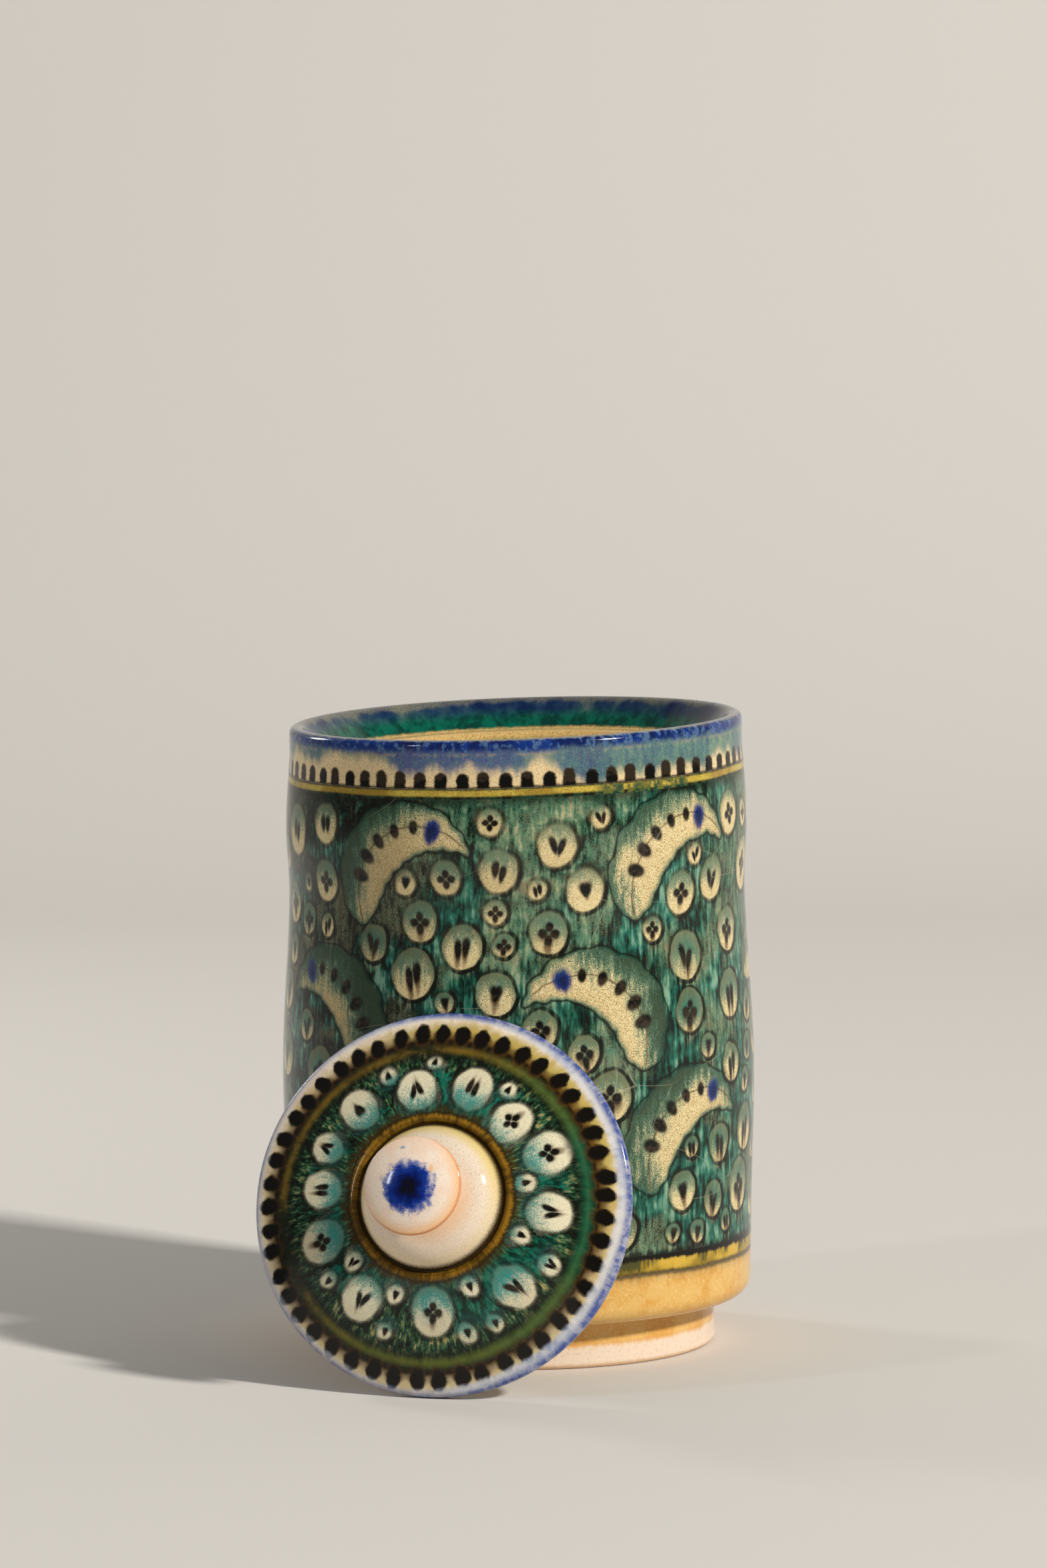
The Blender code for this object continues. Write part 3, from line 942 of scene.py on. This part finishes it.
def jar_border_paint():
    """Blue rim, cream ground with dark dabs, and the yellow line between dark ones."""
    x, y, z, grain = begin("jar_border_glaze")
    streak = noise(0.42, 3, 0.55, place=stretched(0.25))
    clump = noise(0.5, 3, 0.6)
    broad = noise(0.055, place=vector(x, y, 0))
    right = ramp(facing(0.85), 0.5, 0.98)
    left = ramp(facing(-1.25), 0.72, 0.98)
    colour = speckled((228, 204, 158), CREAM_SHADE, 0.47, 0.72)

    height = z + streak.sway(6) + clump.sway(3) + grain.sway(3)
    shore = 190.2 + broad.sway(20) - right * 2.8 + left * 1.4
    # On the left the blue starts higher and turns paler sea-green, leaving more cream: partly glaze
    # colour, partly painted light for that dimmer side.
    blue = ramp(height, shore - 2.4, shore + 2.6)
    tone = streak * 0.25 + clump * 0.2 + broad * 0.4 + grain * 0.15
    wash = colours(
        tone, (0.41, (10, 40, 108)), (0.47, (28, 66, 126)), (0.53, (44, 88, 122)), (0.6, (100, 120, 112))
    )
    sea = colours(
        tone, (0.41, (18, 74, 104)), (0.48, (44, 102, 102)), (0.54, (80, 124, 108)),
        (0.61, (132, 144, 112))
    )
    wash.coat(op("MAXIMUM", right, left * 0.7) * 0.85, sea)
    wash.coat(ramp(grain, 0.5, 0.66) * 0.25, (196, 180, 144))
    colour.coat(blue * 0.95, wash)
    seam = line(z + clump.sway(2), 194.9, 0.35, 0.7) * ramp(streak + broad, 0.92, 1.1)
    colour.coat(seam * 0.5, (176, 156, 116))
    lip = ramp(z + streak.sway(4.4) + broad.sway(3.6) + grain.sway(1.6), 194.7, 197)
    deep = mix(ramp(broad * 0.5 + streak * 0.5, 0.44, 0.56), COBALT_DEEP, COBALT)
    deep.coat(ramp(clump + streak.sway(0.8), 0.5, 0.66) * 0.7, (84, 112, 144))
    colour.coat(lip * 0.96, deep)
    crest = ramp(z + clump.sway(1.2), 198.7, 199.15)
    colour.coat(crest * 0.6, (150, 150, 134))

    across, free = dab_row(BORDER_DABS, 0.14)
    x = across * BORDER_PITCH + clump.sway(1.2)
    y = op("MAXIMUM", z - 187.1 - free * 1.1, 0)
    dab = hypot(x / 1.95, y / 1.95) + grain.sway(0.8)
    dabs = ramp(dab, 1.22, 0.84) * ramp(z, 184, 184.8)
    rise = (z - 186.6) * 0.16
    tone = mix(ramp(clump + free.sway(0.9) + rise, 0.4, 0.62), INK, (46, 36, 26))
    colour.coat(dabs, tone)

    height = z + drift(0.03, 0.35)[0]
    under = mix(ramp(streak, 0.42, 0.56), (20, 24, 12), (40, 74, 50))
    colour.coat(ramp(height, BORDER_LINE, BORDER_LINE - 0.5), under)
    tone = mix(ramp(broad * 0.7 + clump * 0.3, 0.44, 0.6), YELLOW, (160, 130, 48))
    tone = speckled(tone, YELLOW_SHADE, 0.46, 0.68)
    yellow = line(height + grain.sway(0.7), 182.95, 0.95, 0.45)
    colour.coat(yellow, tone)
    upper = line(height + clump.sway(0.9), BORDER_LINE, 0.38, 0.5)
    colour.coat(upper * 0.95, INK)
    lower = line(height + streak.sway(1.6), 181.5, 0.22, 0.5)
    colour.coat(lower * 0.85, (34, 28, 12))
    overrun = ramp(facing(0.6), 0.962, 0.982)
    overrun = overrun * ramp(height, 184.2, 183.6) * ramp(clump + (streak - 0.5), 0.3, 0.56)
    mixed = mix(ramp(clump, 0.46, 0.58), (18, 66, 50), (96, 98, 46))
    colour.coat(overrun * 0.95, mixed)
    return finish(colour, 0.12)


def jar_gallery_paint():
    """Mottled grey and blue under the crest, a smooth green band below, and the cream ledge."""
    x, y, z, grain = begin("jar_gallery_glaze")
    streak = noise(0.22, place=stretched(0.4))
    clump = noise(0.45, 3, 0.6)
    broad = noise(0.06)
    out = hypot(x, y)
    colour = speckled((220, 186, 118), (134, 96, 44), 0.46, 0.66)
    green = mix(ramp(streak * 0.6 + clump * 0.4, 0.42, 0.6), (0, 56, 46), (0, 92, 72))
    foot = ramp(z + clump.sway(1.2), 189.7, 190.9) * ramp(out, 59.2, 60.7)
    brown = line(out + clump.sway(0.8), 59.9, 0.25, 0.5) * ramp(z, 192, 191)
    colour.coat(foot, green)
    colour.coat(brown * 0.5, (70, 52, 20))
    mottle = colours(
        broad * 0.5 + streak * 0.35 + clump * 0.15, (0.42, (8, 30, 70)), (0.5, (24, 50, 80)),
        (0.58, (46, 70, 84)), (0.68, (100, 106, 96))
    )
    height = z + streak.sway(2.6) + clump.sway(0.8) + grain.sway(1.2)
    shore = 195 + broad.sway(4)
    colour.coat(ramp(height, shore - 2.4, shore + 2), mottle)
    crest = ramp(height + broad.sway(5), 197.2, 199)
    worn = mix(ramp(grain, 0.44, 0.6), (138, 130, 104), (70, 80, 86))
    colour.coat(crest * 0.65, worn)
    blue = ramp(out + clump.sway(1.6), 69.2, 69.9)
    colour.coat(blue * 0.7, COBALT)
    lower = ramp(z + clump.sway(2.5), 188.6, 186.6)
    colour.coat(lower * 0.6, (100, 112, 66))
    return finish(colour, 0.12)


def jar_inside_paint(name):
    """Plain cream glaze with iron specks and faint throwing rings."""
    x, y, z, grain = begin(name)
    cloud = noise(0.05)
    colour = mix(ramp(cloud, 0.4, 0.65), (206, 182, 130), (184, 158, 104))
    colour.coat(ramp(grain, 0.54, 0.78), (130, 98, 54))
    out = hypot(x, y)
    ring = op("SINE", (z + out * 0.6) * 1.25 + cloud * 6)
    return finish(colour, 0.2, 0.0006, ring * 0.25 + cloud * 0.5)


def jar_foot_paint():
    """The lower lines, ochre glaze over shoulder and foot, and pale clay where the foot was wiped."""
    x, y, z, grain = begin("jar_foot_glaze")
    streak = noise(0.8, 3, 0.6, place=stretched(0.2))
    mottle = noise(0.9, 3, 0.7)
    cloud = noise(0.1, 3)
    colour = mix(ramp(cloud, 0.42, 0.62), (219, 177, 102), (210, 158, 76))
    colour.coat(ramp(mottle, 0.5, 0.66) * 0.45, (230, 202, 144))
    colour.coat(ramp(grain, 0.54, 0.76) * 0.5, (150, 104, 48))

    height = z + drift(0.03, 0.5)[0]
    yellow = line(height, 33, 2.3, 0.35)
    tone = mix(ramp(cloud, 0.36, 0.62), (204, 168, 62), (150, 124, 32))
    tone = speckled(tone, YELLOW_SHADE, 0.52, 0.8)
    runs = ramp(height + cloud.sway(14) + streak.sway(14), 32.6, 36.6)
    tone.coat(runs * 0.85, (44, 56, 30))
    colour.coat(yellow, tone)
    colour.coat(line(height + streak.sway(2.2), 35.9, 1.3, 0.5), INK)
    lower = line(height + streak.sway(1.2), 30.3, 0.8, 0.7)
    colour.coat(lower * 0.95, (52, 44, 30))
    bleed = ramp(height + streak.sway(5), 26.5, 30.2) * ramp(height, 30.8, 30.2)
    colour.coat(bleed * 0.4, (124, 108, 70))

    out = hypot(x, y)
    crease = line(out + mottle.sway(2), 70.4, 0.25, 0.5) * ramp(z, 16.8, 15.8)
    colour.coat(crease * 0.6, (112, 88, 62))
    # Brighter, deeper ochre in the undercut below the shoulder: painted light where the shoulder's shadow
    # falls, together with glaze pooled thicker there.
    under = ramp(out, 70, 66) * line(z, 15, 1.2, 0.4)
    colour.coat(under * 0.8, (244, 182, 88))
    bare = ramp(z + streak.sway(1.2) + cloud.sway(2.4) + mottle.sway(2), 8.2, 6)
    clay = mix(ramp(mottle, 0.5, 0.75), (224, 206, 186), (212, 184, 156))
    colour.coat(bare, clay)
    tan = line(z + streak.sway(1.2), 7.6, 0.3, 0.6)
    colour.coat(tan * 0.45, (206, 150, 84))
    edge = ramp(z + streak.sway(1.2), 2, 0.7)
    colour.coat(edge * 0.6, (200, 158, 110))
    roughness = ramp(z, 4, 1, 0.12, 0.6)
    return finish(colour, roughness)


def bare_clay_paint(name):
    """Wiped, unglazed clay with fine turning marks."""
    x, y = begin(name)[:2]
    mottle = noise(1.1, 4, 0.75)
    cloud = noise(0.06)
    colour = mix(ramp(cloud, 0.4, 0.65), (226, 200, 164), (206, 172, 130))
    colour.coat(ramp(mottle, 0.56, 0.74) * 0.6, (160, 118, 76))
    ring = op("SINE", hypot(x, y) * 3.2 + cloud * 4)
    return finish(colour, 0.72, 0.0004, mottle * 0.5 + ring * 0.3)


def lid_top_paint():
    """The lid's face: blue and white edge, dabs, dark green field with roundels, and olive ring."""
    x, y, z, grain = begin("lid_top_glaze")
    out = hypot(x, y)
    ring_out = hypot(x + LID_RINGS_ASIDE, y + LID_RINGS_BELOW)
    side_x, side_y = x / out, y / out
    ground = Ground(vector(side_x * 30, side_y * 30, out * 0.3), 0.05)
    streak, clump = ground.streak, ground.clump
    broad = noise(1.3, 1, place=vector(side_x, side_y, 0))
    right = ramp(facing(1.5), -0.1, 0.8)
    upper = ramp(facing(2.5), 0.1, 0.9)
    lower = ramp(facing(0.3), 0.2, 0.9)
    fleck = noise(0.8, 2, 0.6, place=vector(side_x * 60, side_y * 60, out * 0.5))
    outer = ramp(out, 35, 44)
    field = colours(
        streak * 0.3 + clump * 0.25 + fleck * 0.45 + (outer + right + lower) * 0.015, (0.42, (6, 8, 2)),
        (0.475, (18, 26, 10)), (0.525, (22, 62, 42)), (0.575, (66, 98, 64)), (0.64, (162, 146, 92))
    )
    teal = ramp(ground.patch + clump.sway(0.5) + right * 0.04, 0.47, 0.6) * ramp(out, 43, 39)
    pool = mix(ramp(streak, 0.42, 0.58), (4, 44, 34), (12, 104, 84))
    ground.colour = mix(teal * 0.85, field, pool)
    glow = ramp(out + fleck.sway(9), 30, 26)
    ground.colour.coat(glow * 0.85, (66, 50, 14))
    colour = roundels(ground, WHITE, TURQUOISE, 0.24, 0.05, 0.9, 0.35, 0.8)

    olive = mix(ramp(streak * 0.5 + broad * 0.5, 0.42, 0.58), (80, 58, 12), (142, 104, 24))
    olive.coat(line(out, 24.1, 0.2, 0.5) * 0.7, (50, 34, 6))
    ring = out + fleck.sway(2.2)
    colour.coat(ramp(ring, 27.4, 25.6), (34, 24, 6))
    colour.coat(ramp(ring, 26.3, 25.1), olive)
    colour.coat(ramp(out + grain.sway(0.6), 23.7, 22.9), (44, 30, 6))

    band = mix(ramp(broad + clump.sway(0.2), 0.44, 0.58), (30, 32, 12), (118, 92, 26))
    band.coat(lower * 0.8, (104, 112, 34))
    middle = ramp(facing(1.6), 0.8, 0.97)
    green = mix(middle, (66, 84, 34), (16, 80, 54))
    green.coat(line(ring_out, LID_BAND_RADIUS, 0.3, 1) * 0.25, (92, 130, 72))
    band.coat(right, green)
    band.coat(ramp(streak, 0.52, 0.38) * 0.25, (24, 26, 10))
    ring = ring_out + streak.sway(1.2)
    colour.coat(ramp(ring, 43.6, 46.4) * 0.8, (14, 20, 8))
    colour.coat(line(ring, LID_BAND_RADIUS, right * 0.5 + 1, 1.3) * 0.9, band)

    white = mix(ramp(grain, 0.48, 0.68), (234, 222, 202), (208, 188, 162))
    white.coat(ramp(broad + clump.sway(0.3), 0.5, 0.62) * 0.5, (206, 172, 136))
    yellow = ramp(ring_out + streak.sway(5) - upper * 1.4 - lower * 1.2, 57.8, 53.9)
    yellow = yellow * (upper * 0.3 + 0.65)
    tone = ramp(ring_out + clump.sway(4), 55.4, 52.6)
    tone = mix(tone, (178, 156, 76), (118, 92, 24))
    rim = mix(yellow, white, tone)
    colour.coat(ramp(ring_out, 50.3, 51.3), rim)
    root = ramp(ring_out + streak.sway(4), 54.4, 51.6) * ramp(ring_out, 50.1, 50.9)
    colour.coat(root * 0.85, (84, 62, 12))
    dark = line(ring_out + streak.sway(1.2), 51.1, 0.9 - right * 0.35, 0.6)
    colour.coat(dark * 0.95, (16, 13, 4))
    across, free = dab_row(LID_DABS, 0.22)
    drift_x, drift_y = drift(0.3, 0.4)
    x = across * LID_DAB_PITCH + drift_x
    y = ring_out - LID_DAB_RADIUS - free.sway(1) + drift_y
    narrow = ramp(y, -0.5, 3, 2.35, 1.65)
    long = ramp(y, -0.5, 0.5, 3.5, 2.6)
    dab = op("POWER", op("ABSOLUTE", x) / narrow, 2.4)
    dab = dab + op("POWER", op("ABSOLUTE", y) / long, 2.2) + grain.sway(1.4)
    halo = ramp(dab + op("MAXIMUM", y, 0) * 0.5, 2.8, 0.9)
    colour.coat(halo * (upper * 0.25 + 0.5), (72, 46, 12))
    colour.coat(ramp(dab, 1.6, 0.7), (12, 8, 3))

    edge = out + streak.sway(1.4) + broad.sway(3) + grain.sway(0.8)
    water = ramp(edge + right * 1.6, 56.6, 58.2) * ramp(right + upper, 0, 0.5, 0.45, 0.8)
    blue = ramp(streak * 0.4 + broad * 0.6, 0.34, 0.6)
    blue = mix(blue, (96, 124, 182), (206, 208, 210))
    colour.coat(water, blue)
    low_right = ramp(facing(0.9), 0.75, 0.95)
    wide = ramp(upper, 0.4, 1) * 0.9 + low_right * 0.8
    stripe = ramp(edge + wide, 57.7, 59.9) * ramp(z, 0.3, 1.2)
    stripe = stripe * ramp(streak * 0.6 + clump * 0.4, 0.6, 0.42, 0.5, 0.92)
    colour.coat(stripe, (18, 60, 138))
    return finish(colour, 0.1)


def lid_knob_paint():
    """Cream boss and knob, with a fuzzy cobalt blot and a bare orange line round the knob's edge."""
    x, y, z, grain = begin("lid_knob_glaze")
    out = hypot(x, y)
    boss = speckled((228, 214, 195), (184, 154, 120), 0.5, 0.72)
    boss.coat(ramp(y, 2, -16) * 0.25, (228, 202, 172))
    yellow = ramp(out, 17.5, 21.4) * ramp(y, -12, 12, 0.3, 0.8)
    boss.coat(yellow, (214, 188, 104))
    # Orange on the boss beside the knob's neck, towards the lower right: painted shade and painted orange
    # bounce light from the neck, over some orange glaze.
    blush_and_neck_shade = ramp(out + grain.sway(4), 17, 11) * ramp(x - y, 2, 16, 0.3, 1)
    boss.coat(blush_and_neck_shade * 0.5, (226, 168, 110))
    boss.coat(ramp(out + grain.sway(1.2), 21, 22.4), (52, 36, 8))

    top = LID_DOME + KNOB_RISE
    knob = speckled((236, 220, 202), (196, 160, 128), 0.52, 0.74)
    blush_and_neck_shade = noise(0.12)
    knob.coat(ramp(blush_and_neck_shade, 0.45, 0.65) * 0.4, (232, 196, 170))
    side = ramp(x - y, -14, 12)
    knob.coat(ramp(out, 11, 15) * (side * 0.6 + 0.15), (234, 178, 118))
    under = ramp(z, top - 1, top - 7)
    knob.coat(under * 0.6, (226, 164, 104))
    rim = ramp(out + grain.sway(0.4), 14.4, 15) * ramp(z, top - 1.5, top - 0.6)
    knob.coat(rim * (side * 0.5 + 0.2), (196, 116, 60))
    face = ramp(z, top - 0.6, top + 0.2)
    blot_x, blot_y = x + 0.4, y + 0.9
    lobes = noise(0.42)
    ink = hypot(blot_x, blot_y) + lobes.sway(5.4) + grain.sway(4.4)
    knob.coat(ramp(ink, 9, 7.4) * face * 0.8, (64, 98, 168))
    knob.coat(ramp(ink, 8.2, 6) * face, (12, 48, 134))
    knob.coat(ramp(ink, 6.4, 3.2) * face, (1, 18, 86))
    core = hypot(blot_x - 0.4, blot_y + 0.3) + grain.sway(3) + lobes.sway(3)
    knob.coat(ramp(core, 4, 1.8) * face, (5, 7, 24))
    fleck = hypot(x + 3.4, (y - 11.2) * 1.5) + (grain - 0.5)
    knob.coat(ramp(fleck, 1.2, 0.3) * face * 0.7, (96, 130, 176))
    scar = hypot((x - 6.2) * 1.6, y - 5) + grain.sway(1.6)
    knob.coat(ramp(scar, 1.6, 0.6) * face * 0.6, (222, 166, 100))
    colour = mix(ramp(z, LID_DOME + 10, LID_DOME + 13), boss, knob)
    return finish(colour, 0.1)


# Pieces


def thrown(rest):
    """The true form with the lean and tilt that the hand left in it."""
    made = rest.copy()
    share = np.clip(rest[..., 2] / JAR_HEIGHT, 0, 1)
    made[..., 0] += RIM_SHIFT * share
    made[..., 2] += share * (RIM_TILT_RIGHT * rest[..., 0] + RIM_TILT_BACK * rest[..., 1])
    return made


def wall_fields(rest):
    """Corner fields of the painted wall."""
    curled, made, marks = jar_layout()
    angle = np.unwrap(np.arctan2(rest[0, :, 0], -rest[0, :, 1]))
    sheet = np.stack([np.broadcast_to(angle * SHEET_RADIUS, rest.shape[:2]), rest[..., 2]], -1)
    corners = face_corners(sheet)
    centres = corners.mean(2)

    def local(points, roundel, faces=None):
        """Places from a roundel's centre, the short way round for each face."""
        base = points if faces is None else faces
        shift = SHEET_LENGTH * np.round((base[..., 0] - roundel[0]) / SHEET_LENGTH)
        return points[..., 0] - roundel[0] - shift, points[..., 1] - roundel[1]

    fields = roundel_fields(sheet, made, marks, local)
    curl = np.zeros(corners.shape[:3] + (3,))
    best = np.full(centres.shape[:2], 1e6)
    for shape in curled:
        outside = curl_field(centres[..., 0], centres[..., 1], shape)[2]
        closer = outside < best
        best = np.where(closer, outside, best)
        curl[closer] = np.stack(curl_field(corners[closer][..., 0], corners[closer][..., 1], shape), -1)
    return fields + [("curl", curl)]


def build_jar():
    """The jar's skins, from one turned grid; its painted wall is a front and a back half."""
    rest, spans = turned_grid(jar_outline(), JAR_COLUMNS)
    grid = thrown(rest)
    normals = grid_normals(grid)
    quarter = JAR_COLUMNS // 4
    whole = np.arange(JAR_COLUMNS + 1)
    front = np.arange(quarter, 3 * quarter + 1)
    back = np.arange(3 * quarter, 5 * quarter + 1) % JAR_COLUMNS
    field_paint = jar_field_paint()
    skins = [
        ("jar_floor", "jar_floor", whole, 0, jar_inside_paint("jar_floor_glaze")),
        ("jar_inside", "jar_inside", whole, 2, jar_inside_paint("jar_inside_glaze")),
        ("jar_gallery", "jar_gallery", whole, 4, jar_gallery_paint()),
        ("jar_border", "jar_border", whole, 4, jar_border_paint()),
        ("jar_field", "jar_field_front", front, 1, field_paint),
        ("jar_field", "jar_field_back", back, 1, field_paint),
        ("jar_foot", "jar_foot", whole, 3, jar_foot_paint()),
        ("jar_underside", "jar_underside", whole, 0, bare_clay_paint("jar_bare_clay")),
    ]
    for stretch, name, columns, bands, paint in skins:
        part = np.ix_(np.arange(*spans[stretch]), columns)
        fields = wall_fields(rest[part]) if stretch == "jar_field" else ()
        piece = skin(name, grid[part], normals[part], rest[part], bands, fields)
        piece.data.materials.append(paint)
        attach(piece, "jar")
        if name == "jar_field_front":
            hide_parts("jar")


def lid_place(outline):
    """Where the lid stands: on its edge, leaning back on the jar's wall."""
    sine, cosine = math.sin(LID_LEAN), math.cos(LID_LEAN)
    lift = max(r * cosine - z * sine for r, z in outline)
    reach = max(wall_radius(lift + r * cosine + z * sine) + r * sine - z * cosine for r, z in outline)
    turn = Matrix.Rotation(-LID_BEARING, 4, "Z")
    stand = Matrix.Translation((0, -(reach + LEAN_GAP) * MM, lift * MM))
    return turn @ stand @ Matrix.Rotation(math.pi / 2 - LID_LEAN, 4, "X")


def lid_layout():
    """Roundels on the lid's field, as (x, y, radius), and their marks."""
    chance = np.random.default_rng(LID_SEED)
    inner, outer = LID_FIELD_RING

    def place(source, tries):
        out, angle = source.uniform(inner, outer, tries), source.uniform(0, 2 * math.pi, tries)
        return out * np.cos(angle), out * np.sin(angle)

    def apart(x, y, other):
        return math.hypot(x - other[0], y - other[1]) + ROUNDEL_GAP * 0.5

    def blocked(x, y, radius):
        out = np.hypot(x, y)
        return (out - radius < inner) | (out + radius > outer)

    sizes = ((6.4, 7.4, 900), (4.6, 5.8, 900), (2.6, 3.6, 900))
    made = scatter(sizes, place, apart, blocked, chance)
    return made, seed_marks(made, chance)


def lid_fields(rest):
    """Corner fields of the lid's face; up is towards the boss."""
    made, marks = lid_layout()

    def local(points, roundel, faces=None):
        out = math.hypot(roundel[0], roundel[1])
        ux, uy = roundel[0] / out, roundel[1] / out
        x, y = points[..., 0] - roundel[0], points[..., 1] - roundel[1]
        return y * ux - x * uy, -(x * ux + y * uy)

    return roundel_fields(rest[..., :2], made, marks, local)


def build_lid():
    """The lid's skins, from one turned grid."""
    stretches = lid_outline()
    rest, spans = turned_grid(stretches, LID_COLUMNS)
    normals = grid_normals(rest)
    place = np.array(lid_place([point for name, points in stretches for point in points]))
    grid = rest @ place[:3, :3].T + place[:3, 3] / MM
    normals = normals @ place[:3, :3].T
    paints = {
        "lid_knob": lid_knob_paint(),
        "lid_top": lid_top_paint(),
        "lid_underside": jar_inside_paint("lid_underside_glaze"),
    }
    for name, (first, last) in spans.items():
        rows = slice(first, last)
        fields = lid_fields(rest[rows]) if name == "lid_top" else ()
        bands = 2 if name == "lid_knob" else 0
        piece = skin(name, grid[rows], normals[rows], rest[rows], bands, fields)
        piece.data.materials.append(paints[name])
        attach(piece, "lid")
        if name == "lid_top":
            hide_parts("lid")


# Stage


def stage_material():
    """Even colour on the side towards the jar; the back is clear, so a camera behind it sees the jar."""
    new_material("pale_floor")
    nodes = Paint.tree.nodes
    shader = nodes["Principled BSDF"]
    shader.inputs["Base Color"].default_value = srgb(*STAGE_COLOUR)
    shader.inputs["Roughness"].default_value = 0.8
    shader.inputs["Specular IOR Level"].default_value = 0.1
    behind, clear = node("ShaderNodeNewGeometry", {}, "Backfacing"), node("ShaderNodeBsdfTransparent", {})
    either = node("ShaderNodeMixShader", {0: behind, 1: Wire(shader.outputs[0]), 2: clear})
    feed(nodes["Material Output"].inputs["Surface"], either)
    return Paint.material


def build_stage():
    """A pale floor that sweeps up into a pale backdrop."""
    rows = [(STAGE_FRONT, 0), (SWEEP_START, 0)]
    for angle in np.linspace(0.1, math.pi / 2, 14):
        out, up = SWEEP_RADIUS * math.sin(angle), SWEEP_RADIUS * math.cos(angle)
        rows.append((SWEEP_START + out, SWEEP_RADIUS - up))
    rows.append((SWEEP_START + SWEEP_RADIUS, STAGE_TOP))
    points = [(x, y, z) for y, z in rows for x in (-STAGE_HALF_WIDTH, STAGE_HALF_WIDTH)]
    faces = [(2 * i, 2 * i + 1, 2 * i + 3, 2 * i + 2) for i in range(len(rows) - 1)]
    mesh = bpy.data.meshes.new("floor")
    mesh.from_pydata(points, [], faces)
    mesh.shade_smooth()
    mesh.materials.append(stage_material())
    floor = add("floor", mesh)


def softbox(name, place, size, watts, colour=(1, 1, 1)):
    """Rectangular area lamp aimed at the jar's middle."""
    lamp = bpy.data.lights.new(name, "AREA")
    lamp.shape = "RECTANGLE"
    lamp.size, lamp.size_y = size
    lamp.energy = watts
    lamp.color = colour
    item = add(name, lamp)
    item.location = place
    aim = Vector(LAMP_AIM) - Vector(place)
    item.rotation_mode = "QUATERNION"
    item.rotation_quaternion = aim.to_track_quat("-Z", "Y")


def build_lights():
    """Key from the right, a softer one from the left, a small one behind, and a dim pale world."""
    softbox("key", (3.9, -3.1, 3.4), (0.5, 0.5), 385, (1, 0.96, 0.9))
    softbox("fill", (-4.5, -3, 2.7), (0.25, 1.2), 37, (0.94, 0.97, 1))
    softbox("rim", (-1.0, 0.75, 0.7), (0.2, 0.3), 3.5)
    world = bpy.data.worlds.new("studio")
    world.use_nodes = True
    background = world.node_tree.nodes["Background"].inputs
    background["Color"].default_value = srgb(*WORLD_COLOUR)
    background["Strength"].default_value = WORLD_STRENGTH
    bpy.context.scene.world = world


def build_camera():
    """Camera at the photograph's angle, upright frame."""
    camera = add("camera", bpy.data.cameras.new("camera"))
    camera.data.lens = CAMERA_LENS
    camera.data.sensor_width = CAMERA_SENSOR
    camera.data.clip_end = CAMERA_REACH
    camera.location = (0, -CAMERA_DISTANCE * MM, CAMERA_HEIGHT * MM)
    camera.rotation_euler = (math.pi / 2 - CAMERA_PITCH, 0, -CAMERA_YAW)
    bpy.context.scene.camera = camera


build_camera()
build_lights()
build_stage()
build_jar()
build_lid()
bpy.context.scene.view_settings.view_transform = "Standard"
